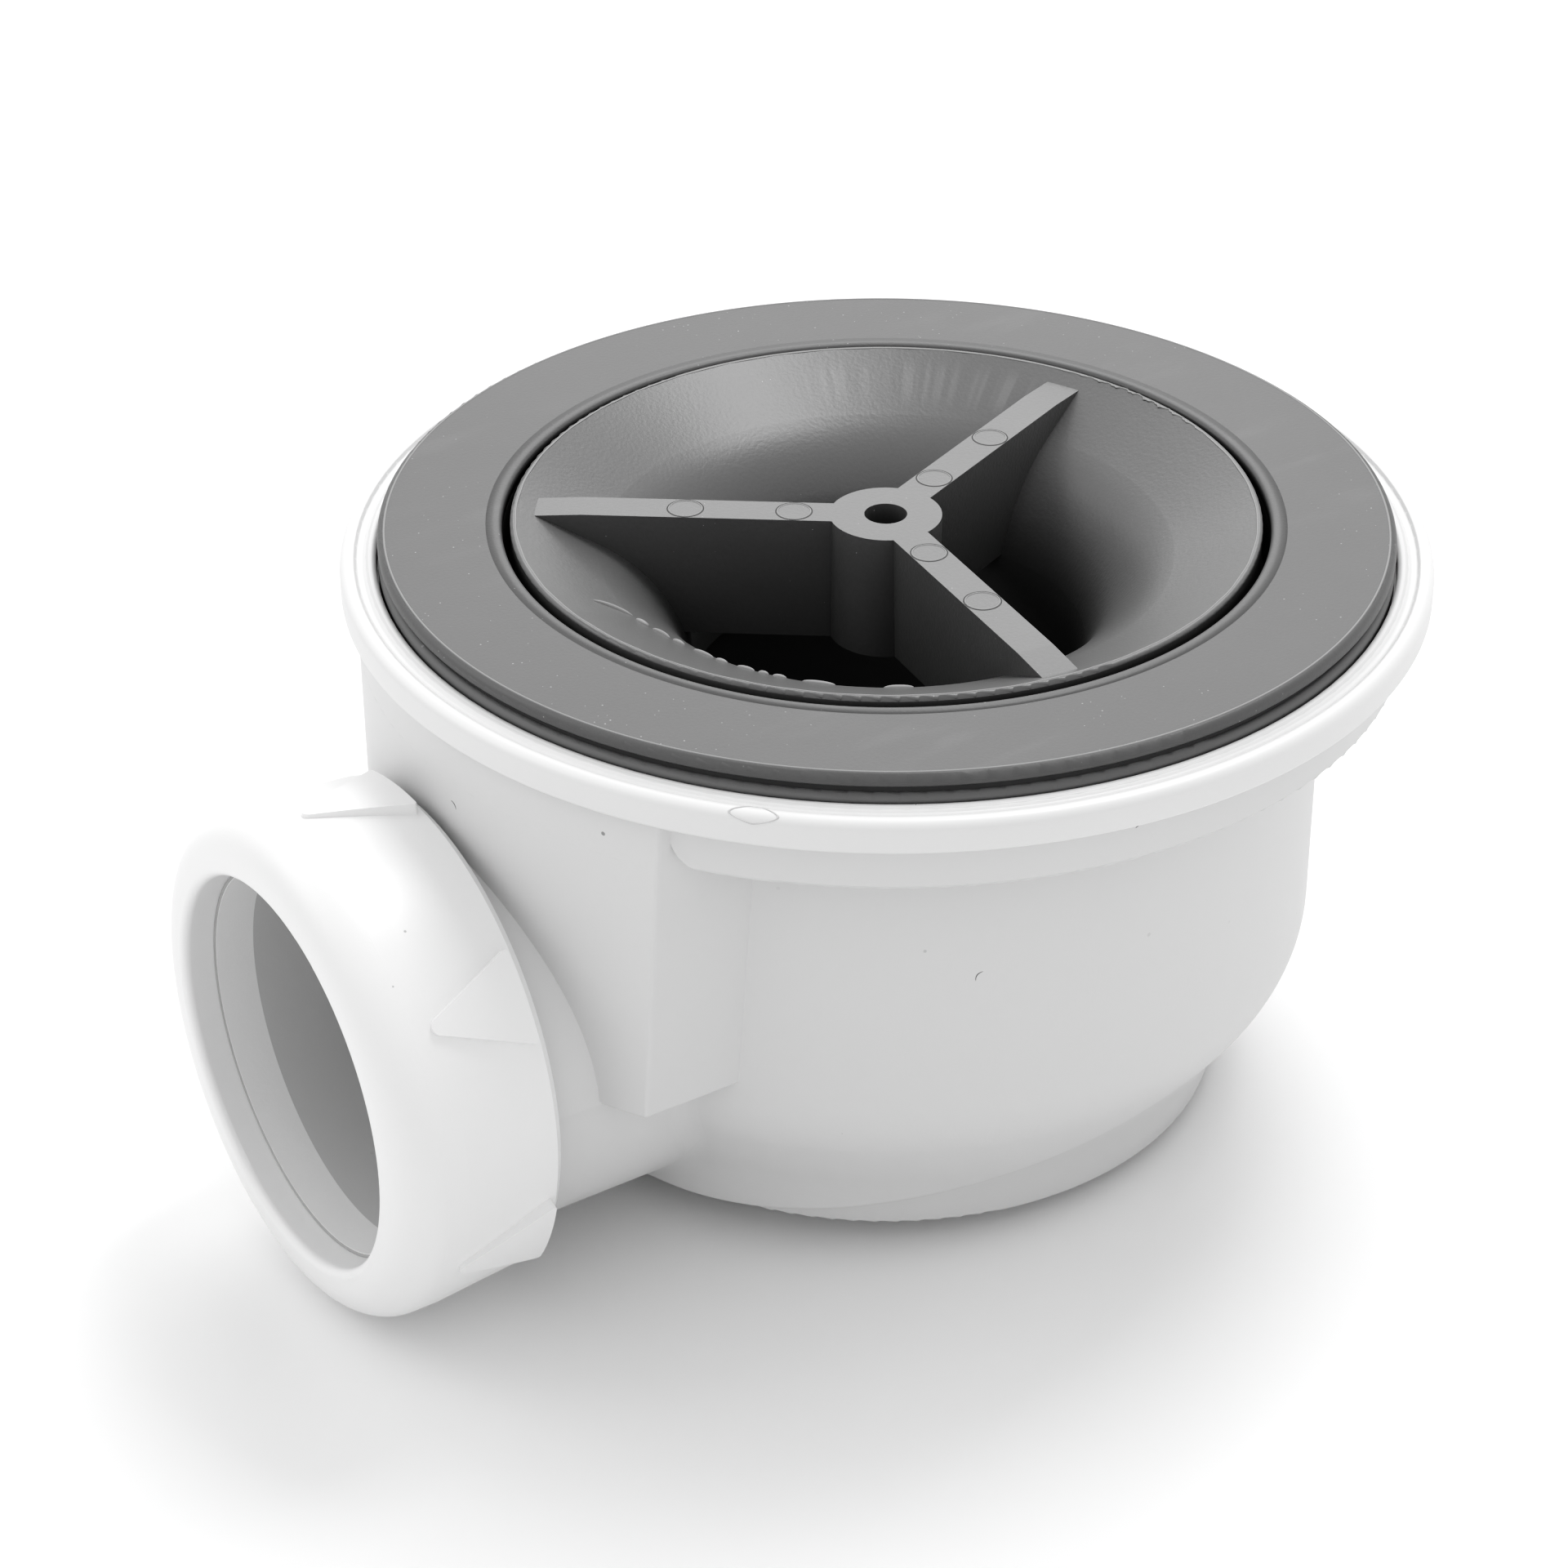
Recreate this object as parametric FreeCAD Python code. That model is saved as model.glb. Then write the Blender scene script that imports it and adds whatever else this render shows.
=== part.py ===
import FreeCAD, Part
import math
import os

# A low shower trap for a 90 mm waste hole, in millimetres.
# The main axis is Z, with z = 0 on the flat foot of the bowl. The outlet points along +X.
# Waste water falls through the funnel, dips under its tube, rises in the bowl, spills over
# the weir into the drop shaft, and leaves through the outlet.
# The collar screws into the mouth of the bowl and clamps a tray between its flange and the rim.

Vector = FreeCAD.Vector
ORIGIN = Vector(0, 0, 0)
ALONG_X = Vector(1, 0, 0)
ALONG_Z = Vector(0, 0, 1)

# Bowl
bowl_radius = 46.4
bowl_wall = 2.4
floor_thickness = 2.4
shoulder_height = 17.8
shoulder_rounding = 12.0
waist_height = 5.7
waist_inset = 7.3
waist_rounding = 18.0
foot_inset = 1.5
foot_edge_rounding = 0.6
floor_corner_rounding = 1.6

# Sloping step, where the thicker upper shell ends above the foot
shell_step = 0.6
step_height = 10.7
step_slope = 0.32
step_rounding = 0.4

# Waste pipe and the spigot that takes it
pipe_radius = 20.0
socket_clearance = 0.5
spigot_wall = 2.55
spigot_below_foot = 0.75
parting_step = 0.3
spigot_blend = 3.0
spigot_thread_step = 0.65
spigot_thread_length = 11.5
socket_into_shaft = 1.0
stop_rib_width = 2.0
stop_rib_height = 1.7
chamber_clearance = 0.1
mouth_wall = 0.7

# Rim, from the seat of the seal outwards
outlet_below_rim = 39.9
seat_overhang = 6.8
seat_depth = 1.6
bead_width = 1.0
bead_valley_depth = 0.4
bead_valley_width = 0.55
outer_bead_width = 1.45
bead_rounding = 0.45
valley_rounding = 0.15
rim_edge_thickness = 3.4
rim_edge_rounding = 1.1
rim_lower_rounding = 0.4
rim_plate_thickness = 2.2
skirt_inset = 2.6
skirt_wall = 2.2
skirt_drop = 5.7
skirt_edge_rounding = 0.5
skirt_corner_rounding = 3.8
rib_count = 12
rib_thickness = 1.8
rib_drop = 4.2

# Drop shaft, the box that joins the rim to the outlet
shaft_depth = 9.1
shaft_side_margin = 5.05
shaft_draft_degrees = 3.2
shaft_wall = 2.2
shaft_edge_rounding = 0.5
shaft_floor_above_axis = 0.7
shaft_split_margin = 0.5
window_height = 11.0
window_below_collar = 0.7
window_half_width = 22.0

# Seal under the tray and gasket under the flange
tray_hole_clearance = 1.0
seal_thickness = 2.2
seal_hole_clearance = 0.2
seal_side_clearance = 0.2
seal_rounding = 0.8
gasket_thickness = 0.9
gasket_inset = 0.7

# Clamping collar
flange_side_clearance = 0.2
flange_thickness = 1.3
flange_edge_rounding = 0.8
flange_lower_rounding = 0.2
collar_thread_gap = 1.1
collar_wall = 2.9
bore_edge_rounding = 1.5
collar_skirt_length = 14.0
ledge_thickness = 2.0
ledge_width = 2.6

# Funnel insert
insert_side_gap = 0.8
insert_above_flange = 0.25
insert_edge_rounding = 0.4
insert_rim_width = 0.6
insert_wall = 2.0
insert_skirt_wall = 3.2
funnel_slope_degrees = 26.0
funnel_width = 17.9
funnel_blend = 17.2
neck_length = 1.8
neck_taper = 0.9
tube_split_below_webs = 0.2
tube_step = 0.3
tube_wall = 1.8
tube_above_floor = 5.6
web_count = 3
web_first_degrees = 83.0
web_top_width = 4.0
web_bottom_width = 3.5
web_top_below_rim = 0.65
web_depth = 13.9
boss_radius = 5.9
screw_hole_radius = 2.25

# Ring in the groove of the insert
groove_top_below_rim = 5.4
groove_height = 2.8
groove_depth = 1.5
ring_groove_clearance = 0.05
ring_bore_clearance = 0.15

# Outlet nut
nut_shaft_gap = 0.8
nut_length = 18.2
nut_thread_gap = 1.25
nut_wall = 1.55
nut_swell = 0.8
nut_swell_length = 11.2
nut_back_chamfer = 0.8
nut_front_rounding = 4.5
nut_opening_clearance = 1.0
nut_lip_rounding = 0.9
nut_front_wall = 3.6
nut_mouth_chamfer = 0.5
pad_count = 6
pad_first_degrees = 36.0
pad_height = 0.45
pad_start = 1.4
pad_length = 11.7
pad_half_width = 5.0
pad_apex_rounding = 0.9
pad_base_rounding = 0.3

# Washer and conical seal inside the nut
washer_thickness = 1.0
washer_side_clearance = 0.75
pipe_clearance = 0.5
cone_seal_length = 4.8
cone_seal_band = 0.5
cone_seal_tip_wall = 0.8
cone_seal_clearance = 0.05
washer_spigot_gap = 0.9

# Radii that follow
inner_radius = bowl_radius - bowl_wall
shoulder_radius = bowl_radius - shell_step
waist_radius = shoulder_radius - waist_inset
foot_radius = waist_radius - foot_inset
seat_radius = bowl_radius + seat_overhang
outer_bead_start = seat_radius + bead_width + bead_valley_width + 2 * bead_valley_depth
rim_radius = outer_bead_start + outer_bead_width
skirt_radius = rim_radius - skirt_inset
shaft_radius = bowl_radius + shaft_depth
socket_radius = pipe_radius + socket_clearance
stop_rib_radius = socket_radius - stop_rib_height
chamber_radius = socket_radius + chamber_clearance
spigot_radius = socket_radius + spigot_wall
shaft_half_width = spigot_radius + shaft_side_margin
shaft_split = math.sqrt(bowl_radius ** 2 - shaft_half_width ** 2) + shaft_split_margin
spigot_thread_root = spigot_radius + spigot_thread_step
mouth_radius = spigot_thread_root - mouth_wall
flange_radius = seat_radius - flange_side_clearance
gasket_radius = flange_radius - gasket_inset
seal_hole_radius = inner_radius + tray_hole_clearance + seal_hole_clearance
collar_skirt_root = inner_radius - collar_thread_gap
collar_bore_radius = collar_skirt_root - collar_wall
insert_radius = collar_bore_radius - insert_side_gap
neck_radius = insert_radius - funnel_width
tube_radius = neck_radius + tube_step
nut_thread_root = spigot_thread_root + nut_thread_gap
nut_back_radius = nut_thread_root + nut_wall
nut_radius = nut_back_radius + nut_swell
nut_opening_radius = pipe_radius + nut_opening_clearance
pad_radius = nut_radius + pad_height
washer_radius = nut_thread_root - washer_side_clearance
pipe_opening_radius = pipe_radius + pipe_clearance
cone_seal_tip_radius = pipe_opening_radius + cone_seal_tip_wall

# Heights that follow from the stack
outlet_height = spigot_radius - spigot_below_foot
rim_height = outlet_height + outlet_below_rim
seat_height = rim_height - seat_depth
seal_top = seat_height + seal_thickness
gasket_top = seal_top + gasket_thickness
flange_top = gasket_top + flange_thickness
insert_top = flange_top + insert_above_flange
web_top = insert_top - web_top_below_rim
web_bottom = web_top - web_depth
collar_end = gasket_top - collar_skirt_length
ledge_top = collar_end + ledge_thickness
window_top = collar_end - window_below_collar
rim_underside = rim_height - rim_edge_thickness
plate_underside = seat_height - rim_plate_thickness
skirt_end = rim_underside - skirt_drop
shaft_floor = outlet_height + shaft_floor_above_axis

# Places along the outlet
nut_back = shaft_radius + nut_shaft_gap
nut_front = nut_back + nut_length
washer_front = nut_front - nut_front_wall
washer_back = washer_front - washer_thickness
spigot_end = washer_back - washer_spigot_gap
spigot_thread_start = spigot_end - spigot_thread_length
socket_start = shaft_radius - socket_into_shaft
OVERSHOOT = 5.0


def rounded_wire(corners, to_point):
    """A closed wire through corners (a, b) or (a, b, radius), each rounded by a tangent arc."""
    places = [to_point(corner[0], corner[1]) for corner in corners]
    radii = [corner[2] if len(corner) > 2 else 0.0 for corner in corners]
    count = len(corners)
    starts = []
    ends = []
    middles = []
    for index in range(count):
        here = places[index]
        back = (places[index - 1] - here).normalize()
        ahead = (places[(index + 1) % count] - here).normalize()
        if radii[index] > 0:
            half_angle = back.getAngle(ahead) / 2
            reach = radii[index] / math.tan(half_angle)
            inward = (back + ahead).normalize()
            middle = here + inward * (radii[index] / math.sin(half_angle) - radii[index])
            starts.append(here + back * reach)
            ends.append(here + ahead * reach)
            middles.append(middle)
        else:
            starts.append(here)
            ends.append(here)
            middles.append(None)
    edges = []
    for index in range(count):
        if middles[index] is not None:
            edges.append(Part.Arc(starts[index], middles[index], ends[index]).toShape())
        following = starts[(index + 1) % count]
        if (following - ends[index]).Length > 1e-6:
            edges.append(Part.LineSegment(ends[index], following).toShape())
    return Part.Wire(edges)


def turned(corners):
    """A solid turned about the main axis from corners (radius, height)."""
    wire = rounded_wire(corners, lambda radius, height: Vector(radius, 0, height))
    return Part.Face(wire).revolve(ORIGIN, ALONG_Z, 360)


def turned_about_outlet(corners):
    """A solid turned about the outlet axis from corners (x, radius)."""
    wire = rounded_wire(corners, lambda x, radius: Vector(x, 0, outlet_height + radius))
    return Part.Face(wire).revolve(Vector(0, 0, outlet_height), ALONG_X, 360)


def outlet_cylinder(radius, start, end):
    """A cylinder about the outlet axis."""
    return Part.makeCylinder(radius, end - start, Vector(start, 0, outlet_height), ALONG_X)


def block(low, high):
    """A box between two opposite corners."""
    size = [high[index] - low[index] for index in range(3)]
    return Part.makeBox(size[0], size[1], size[2], Vector(*low))


def wall_corners(growth, bottom):
    """The bowl's side from its waist to its rim, moved outwards by growth, down to a height."""
    lower_slope = foot_inset / waist_height
    return [
        (foot_radius + growth + lower_slope * bottom, bottom),
        (waist_radius + growth, waist_height, waist_rounding),
        (shoulder_radius + growth, shoulder_height, shoulder_rounding),
    ]


def filled_bowl(growth, bottom, top):
    """The bowl as a filled solid of revolution."""
    side = wall_corners(growth, bottom)
    upper_radius = side[-1][0]
    return turned([(0, bottom)] + side + [(upper_radius, top), (0, top)])


def foot_solid():
    """The foot and everything under the sloping step."""
    side = wall_corners(0, 0)
    side[0] = side[0] + (foot_edge_rounding,)
    return turned([(0, 0)] + side + [(side[-1][0], plate_underside), (0, plate_underside)])


def step_cutter():
    """A wedge that holds everything below the sloping step."""
    reach = rim_radius + nut_front
    low = -reach
    outline = [
        Vector(-reach, -reach, step_height + step_slope * reach),
        Vector(reach, -reach, step_height - step_slope * reach),
        Vector(reach, -reach, low),
        Vector(-reach, -reach, low),
    ]
    face = Part.Face(Part.makePolygon(outline + outline[:1]))
    return face.extrude(Vector(0, 2 * reach, 0))


def points_on(edge):
    """Five points along an edge, its ends included."""
    if edge.Degenerated:
        return [edge.Vertexes[0].Point]
    first, last = edge.ParameterRange
    return [edge.valueAt(first + (last - first) * share / 4) for share in range(5)]


def on_step(edge):
    """Whether an edge lies on the sloping step."""
    return all(abs(point.z - step_height + step_slope * point.x) < 1e-3 for point in points_on(edge))


def spigot_outside():
    """The outlet pipe, a little larger above the parting line of its mould."""
    pipe = outlet_cylinder(spigot_radius, 0, spigot_end)
    upper = outlet_cylinder(spigot_radius + parting_step, 0, spigot_end)
    reach = 2 * spigot_radius
    below = block((-1, -reach, outlet_height - reach), (spigot_end + 1, reach, shaft_floor))
    return pipe.fuse(upper.cut(below))


def bowl_with_spigot():
    """The upper shell and the outlet pipe, blended where they meet below the shaft."""
    lowest = outlet_height - spigot_radius - OVERSHOOT
    shell = filled_bowl(shell_step, lowest, plate_underside)
    joined = shell.fuse(outlet_cylinder(spigot_radius, 0, spigot_end)).removeSplitter()

    def on_both(edge):
        for point in points_on(edge):
            off_axis = math.hypot(point.y, point.z - outlet_height)
            if abs(off_axis - spigot_radius) > 1e-3 or point.x > bowl_radius + 1e-3:
                return False
        return True

    seam = [edge for edge in joined.Edges if on_both(edge)]
    return joined.makeFillet(spigot_blend, seam)


def shaft_body(inset, floor, ceiling):
    """The drop shaft as a drafted block with a round front, smaller all round by inset."""
    spread = math.tan(math.radians(shaft_draft_degrees))
    low_half = shaft_half_width - inset + spread * (floor - shaft_floor)
    high_half = shaft_half_width - inset + spread * (ceiling - shaft_floor)
    outline = [
        Vector(0, -low_half, floor),
        Vector(0, low_half, floor),
        Vector(0, high_half, ceiling),
        Vector(0, -high_half, ceiling),
    ]
    wedge = Part.Face(Part.makePolygon(outline + outline[:1])).extrude(Vector(rim_radius, 0, 0))
    round_front = Part.makeCylinder(shaft_radius - inset, ceiling, ORIGIN, ALONG_Z)
    return wedge.common(round_front)


def shaft_outside():
    """The outside of the drop shaft with its front corners and lower edges rounded."""
    shaft = shaft_body(0, shaft_floor, plate_underside)

    def visible_corner(edge):
        middle = edge.CenterOfMass
        at_ceiling = abs(middle.z - plate_underside) < 1e-3
        at_back = middle.x < 1e-3
        return not at_ceiling and not at_back

    return shaft.makeFillet(shaft_edge_rounding, [e for e in shaft.Edges if visible_corner(e)])


def rim_solid():
    """The rim with its two beads, the seat of the seal and the hanging skirt."""
    valley = rim_height - bead_valley_depth
    inner_bead_end = seat_radius + bead_width
    return turned([
        (inner_radius, plate_underside),
        (inner_radius, seat_height),
        (seat_radius, seat_height),
        (seat_radius, rim_height, bead_rounding),
        (inner_bead_end, rim_height, bead_rounding),
        (inner_bead_end + bead_valley_depth, valley, valley_rounding),
        (outer_bead_start - bead_valley_depth, valley, valley_rounding),
        (outer_bead_start, rim_height, valley_rounding),
        (rim_radius, rim_height, rim_edge_rounding),
        (rim_radius, rim_underside, rim_lower_rounding),
        (skirt_radius, rim_underside),
        (skirt_radius, skirt_end, skirt_edge_rounding),
        (skirt_radius - skirt_wall, skirt_end, skirt_edge_rounding),
        (skirt_radius - skirt_wall, plate_underside),
    ])


def skirt_corner_cutter(side):
    """What rounds off the lower corner of the skirt beside the shaft, for side 1 or -1."""
    spread = math.tan(math.radians(shaft_draft_degrees))
    half_width = shaft_half_width + spread * (skirt_end - shaft_floor)
    bearing = math.degrees(math.asin(half_width / skirt_radius))
    radius = skirt_corner_rounding
    start = skirt_radius - skirt_wall - shaft_wall
    corner = block((start, -skirt_wall, skirt_end - 1), (rim_radius, radius, skirt_end + radius))
    round_part = Part.makeCylinder(radius, rim_radius, Vector(0, radius, skirt_end + radius), ALONG_X)
    cutter = corner.cut(round_part)
    if side < 0:
        cutter = cutter.mirror(ORIGIN, Vector(0, 1, 0))
    cutter.rotate(ORIGIN, ALONG_Z, side * bearing)
    return cutter


def rim_ribs():
    """Short ribs that stiffen the rim between its skirt and the bowl."""
    start = bowl_radius - bowl_wall / 2
    end = skirt_radius - skirt_wall / 2
    ribs = []
    for index in range(rib_count):
        rib = block((start, -rib_thickness / 2, plate_underside - rib_drop),
                    (end, rib_thickness / 2, plate_underside + rim_plate_thickness / 2))
        rib.rotate(ORIGIN, ALONG_Z, (index + 0.5) * 360 / rib_count)
        ribs.append(rib)
    return ribs


def outlet_hollow():
    """The drop shaft and the chamber behind the pipe stop, outside the wall of the bowl."""
    ceiling = window_top + shaft_wall
    hollow = shaft_body(shaft_wall, shaft_floor + shaft_wall, ceiling)
    hollow = hollow.fuse(outlet_cylinder(chamber_radius, 0, socket_start - stop_rib_width))
    lowest = outlet_height - chamber_radius - OVERSHOOT
    hollow = hollow.cut(filled_bowl(shell_step, lowest, plate_underside))
    pipe_stop = outlet_cylinder(stop_rib_radius, socket_start - stop_rib_width - 1, spigot_end)
    return hollow.fuse(pipe_stop)


def socket_hollow():
    """The socket of the waste pipe with the conical seat of its seal."""
    seal_back = washer_back - cone_seal_length
    tip = cone_seal_tip_radius + cone_seal_clearance
    return turned_about_outlet([
        (socket_start, 0),
        (socket_start, socket_radius),
        (seal_back, socket_radius),
        (seal_back, tip),
        (spigot_end, mouth_radius + cone_seal_clearance),
        (spigot_end + 1, mouth_radius + cone_seal_clearance),
        (spigot_end + 1, 0),
    ])


def bowl_hollow():
    """The inside of the bowl, from its floor to its mouth."""
    side = wall_corners(shell_step - bowl_wall, floor_thickness)
    side[0] = side[0] + (floor_corner_rounding,)
    mouth = rim_height + 1
    return turned([(0, floor_thickness)] + side + [(inner_radius, mouth), (0, mouth)])


def white_moulding():
    """The whole white moulding: bowl, foot, rim, drop shaft, weir and outlet spigot."""
    upper = bowl_with_spigot().fuse([shaft_outside(), spigot_outside()])
    upper = upper.cut(step_cutter()).removeSplitter()
    upper = upper.makeFillet(step_rounding, [edge for edge in upper.Edges if on_step(edge)])
    thread_band = outlet_cylinder(spigot_thread_root, spigot_thread_start, spigot_end)
    rim = rim_solid().cut([skirt_corner_cutter(1), skirt_corner_cutter(-1)])
    body = upper.fuse([foot_solid(), thread_band, rim] + rim_ribs())
    window = block((bowl_radius / 2, -window_half_width, window_top - window_height),
                   (bowl_radius + 1, window_half_width, window_top))
    body = body.cut([bowl_hollow(), outlet_hollow(), socket_hollow(), window])
    return body.removeSplitter()


def outlet_side():
    """The room below the skirt and beside the bowl, where the moulding is kept as a solid of its own."""
    return block((shaft_split, -rim_radius, -rim_radius), (spigot_end + 1, rim_radius, skirt_end))


def make_trap_body(moulding):
    """The bowl with its foot and rim."""
    return moulding.cut(outlet_side())


def make_outlet_shaft(moulding):
    """The drop shaft with the weir's wall and the spigot, cut from the same moulding."""
    return moulding.common(outlet_side())


def make_tray_seal():
    """The thick seal between the rim and the underside of the tray."""
    outer = seat_radius - seal_side_clearance
    return turned([
        (seal_hole_radius, seat_height),
        (outer, seat_height),
        (outer, seal_top, seal_rounding),
        (seal_hole_radius, seal_top),
    ])


def make_upper_gasket():
    """The thin gasket between the flange and the top of the tray."""
    return turned([
        (seal_hole_radius, seal_top),
        (gasket_radius, seal_top),
        (gasket_radius, gasket_top),
        (seal_hole_radius, gasket_top),
    ])


def make_clamp_collar():
    """The grey collar: a flat flange, a skirt for the thread and a ledge for the insert."""
    return turned([
        (collar_bore_radius, ledge_top),
        (collar_bore_radius, flange_top, bore_edge_rounding),
        (flange_radius, flange_top, flange_edge_rounding),
        (flange_radius, gasket_top, flange_lower_rounding),
        (collar_skirt_root, gasket_top),
        (collar_skirt_root, collar_end),
        (collar_bore_radius - ledge_width, collar_end),
        (collar_bore_radius - ledge_width, ledge_top),
    ])


def funnel_height(radius):
    """The height of the straight part of the funnel's slope at a radius."""
    edge = insert_radius - insert_rim_width
    return insert_top - (edge - radius) * math.tan(math.radians(funnel_slope_degrees))


def make_funnel_shell():
    """The funnel with its neck, its dip tube and the skirt that carries the ring."""
    blend_reach = funnel_blend / math.tan(math.radians(45 + funnel_slope_degrees / 2))
    neck_end = funnel_height(neck_radius) - blend_reach - neck_length
    under = insert_wall / math.cos(math.radians(funnel_slope_degrees))
    skirt_inside = insert_radius - insert_skirt_wall
    tube_outside = tube_radius + tube_wall
    groove_top = insert_top - groove_top_below_rim
    groove_bottom = groove_top - groove_height
    groove_floor = insert_radius - groove_depth
    return turned([
        (insert_radius, ledge_top),
        (insert_radius, groove_bottom),
        (groove_floor, groove_bottom),
        (groove_floor, groove_top),
        (insert_radius, groove_top),
        (insert_radius, insert_top, insert_edge_rounding),
        (insert_radius - insert_rim_width, insert_top),
        (neck_radius, funnel_height(neck_radius), funnel_blend),
        (neck_radius - neck_taper, neck_end),
        (tube_radius, neck_end),
        (tube_radius, floor_thickness + tube_above_floor),
        (tube_outside, floor_thickness + tube_above_floor),
        (tube_outside, funnel_height(tube_outside) - under, funnel_blend - insert_wall),
        (skirt_inside, funnel_height(skirt_inside) - under),
        (skirt_inside, ledge_top),
    ])


def make_web(degrees):
    """One upright web from the boss to the funnel, thinner towards its lower edge."""
    outline = [
        Vector(0, -web_bottom_width / 2, web_bottom),
        Vector(0, web_bottom_width / 2, web_bottom),
        Vector(0, web_top_width / 2, web_top),
        Vector(0, -web_top_width / 2, web_top),
    ]
    face = Part.Face(Part.makePolygon(outline + outline[:1]))
    web = face.extrude(Vector(insert_radius, 0, 0))
    web.rotate(ORIGIN, ALONG_Z, degrees)
    return web


def below_webs():
    """The room just below the webs and inside the skirt, where the insert's dip tube is."""
    top = web_bottom - tube_split_below_webs
    skirt_inside = insert_radius - insert_skirt_wall
    return Part.makeCylinder(skirt_inside, top + bowl_radius, Vector(0, 0, -bowl_radius), ALONG_Z)


def make_dip_tube():
    """The neck and the dip tube, which carry the water down from the funnel."""
    return make_funnel_shell().common(below_webs())


def make_funnel_insert():
    """The removable grey insert above its dip tube: funnel, skirt and a boss on three webs."""
    shell = make_funnel_shell().cut(below_webs())
    into_wall = insert_wall / 2
    lowest = web_bottom - OVERSHOOT
    envelope = turned([
        (0, lowest),
        (neck_radius + into_wall, lowest),
        (neck_radius + into_wall, funnel_height(neck_radius) - into_wall / 2, funnel_blend - into_wall),
        (insert_radius - insert_rim_width, insert_top - into_wall),
        (0, insert_top - into_wall + insert_wall),
    ])
    webs = [make_web(web_first_degrees + index * 360 / web_count).common(envelope)
            for index in range(web_count)]
    boss = Part.makeCylinder(boss_radius, web_depth, Vector(0, 0, web_bottom), ALONG_Z)
    hole = Part.makeCylinder(screw_hole_radius, web_depth + 2, Vector(0, 0, web_bottom - 1), ALONG_Z)
    return shell.fuse(webs + [boss]).cut(hole).removeSplitter()


def make_insert_o_ring():
    """The rubber ring that seals the insert in the bore of the collar."""
    outer = collar_bore_radius - ring_bore_clearance
    inner = insert_radius - groove_depth + ring_groove_clearance
    middle_height = insert_top - groove_top_below_rim - groove_height / 2
    return Part.makeTorus((outer + inner) / 2, (outer - inner) / 2,
                          Vector(0, 0, middle_height), ALONG_Z)


def make_pad(degrees):
    """One raised grip pad: a triangle with rounded corners, its top round with the nut."""
    base = nut_thread_root + (nut_back_radius - nut_thread_root) / 3
    start = nut_back + pad_start
    corners = [
        (start, -pad_half_width, pad_base_rounding),
        (start + pad_length, 0, pad_apex_rounding),
        (start, pad_half_width, pad_base_rounding),
    ]
    outline = rounded_wire(corners, lambda x, y: Vector(x, y, outlet_height + base))
    prism = Part.Face(outline).extrude(Vector(0, 0, pad_radius))
    pad = prism.common(outlet_cylinder(pad_radius, nut_back, nut_front))
    pad.rotate(Vector(0, 0, outlet_height), ALONG_X, degrees - 90)
    return pad


def make_outlet_nut():
    """The white nut that clamps the waste pipe, with six triangular grip pads."""
    shell = turned_about_outlet([
        (nut_back, nut_thread_root + nut_mouth_chamfer),
        (nut_back, nut_back_radius - nut_back_chamfer),
        (nut_back + nut_back_chamfer, nut_back_radius),
        (nut_back + nut_swell_length, nut_radius),
        (nut_front, nut_radius, nut_front_rounding),
        (nut_front, nut_opening_radius, nut_lip_rounding),
        (washer_front, nut_opening_radius),
        (washer_front, nut_thread_root),
        (nut_back + nut_mouth_chamfer, nut_thread_root),
    ])
    pads = [make_pad(pad_first_degrees + index * 360 / pad_count) for index in range(pad_count)]
    return shell.fuse(pads).removeSplitter()


def make_slip_washer():
    """The washer that lets the nut turn without dragging the seal."""
    return turned_about_outlet([
        (washer_back, pipe_opening_radius),
        (washer_back, washer_radius),
        (washer_front, washer_radius),
        (washer_front, pipe_opening_radius),
    ])


def make_outlet_seal():
    """The conical seal that the nut presses between the pipe and the spigot."""
    back = washer_back - cone_seal_length
    band_end = washer_back - cone_seal_band
    cone = (mouth_radius - cone_seal_tip_radius) / (spigot_end - back)
    return turned_about_outlet([
        (back, pipe_opening_radius),
        (back, cone_seal_tip_radius),
        (band_end, cone_seal_tip_radius + cone * (band_end - back)),
        (washer_back, cone_seal_tip_radius + cone * (band_end - back)),
        (washer_back, pipe_opening_radius),
    ])


def main():
    """Build every piece and write one file for each."""
    moulding = white_moulding()
    pieces = {
        "trap_body": make_trap_body(moulding),
        "outlet_shaft": make_outlet_shaft(moulding),
        "tray_seal": make_tray_seal(),
        "upper_gasket": make_upper_gasket(),
        "clamp_collar": make_clamp_collar(),
        "funnel_insert": make_funnel_insert(),
        "dip_tube": make_dip_tube(),
        "insert_o_ring": make_insert_o_ring(),
        "outlet_nut": make_outlet_nut(),
        "slip_washer": make_slip_washer(),
        "outlet_seal": make_outlet_seal(),
    }
    os.makedirs("parts", exist_ok=True)
    for name, shape in pieces.items():
        print(name, "solids", len(shape.Solids), "valid", shape.isValid(),
              "volume", round(shape.Volume, 1))
        shape.exportStep(os.path.join("parts", name + ".step"))


main()
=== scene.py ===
"""Looks of a low shower trap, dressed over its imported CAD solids.

The solids carry the shapes. This script gives each of them its moulded plastic or rubber, adds the fine
relief that the solids leave out, such as screw threads, ejector marks, flash and dust, and sets up the
floor, the light and the camera. Everything is in metres, in the frame of the solids. Sizes in
millimetres are multiplied by MM where they are used.
"""

import logging
import math
from dataclasses import dataclass, field
from enum import Enum

import bmesh
import bpy
from mathutils import Matrix, Vector
from mathutils.bvhtree import BVHTree


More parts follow.
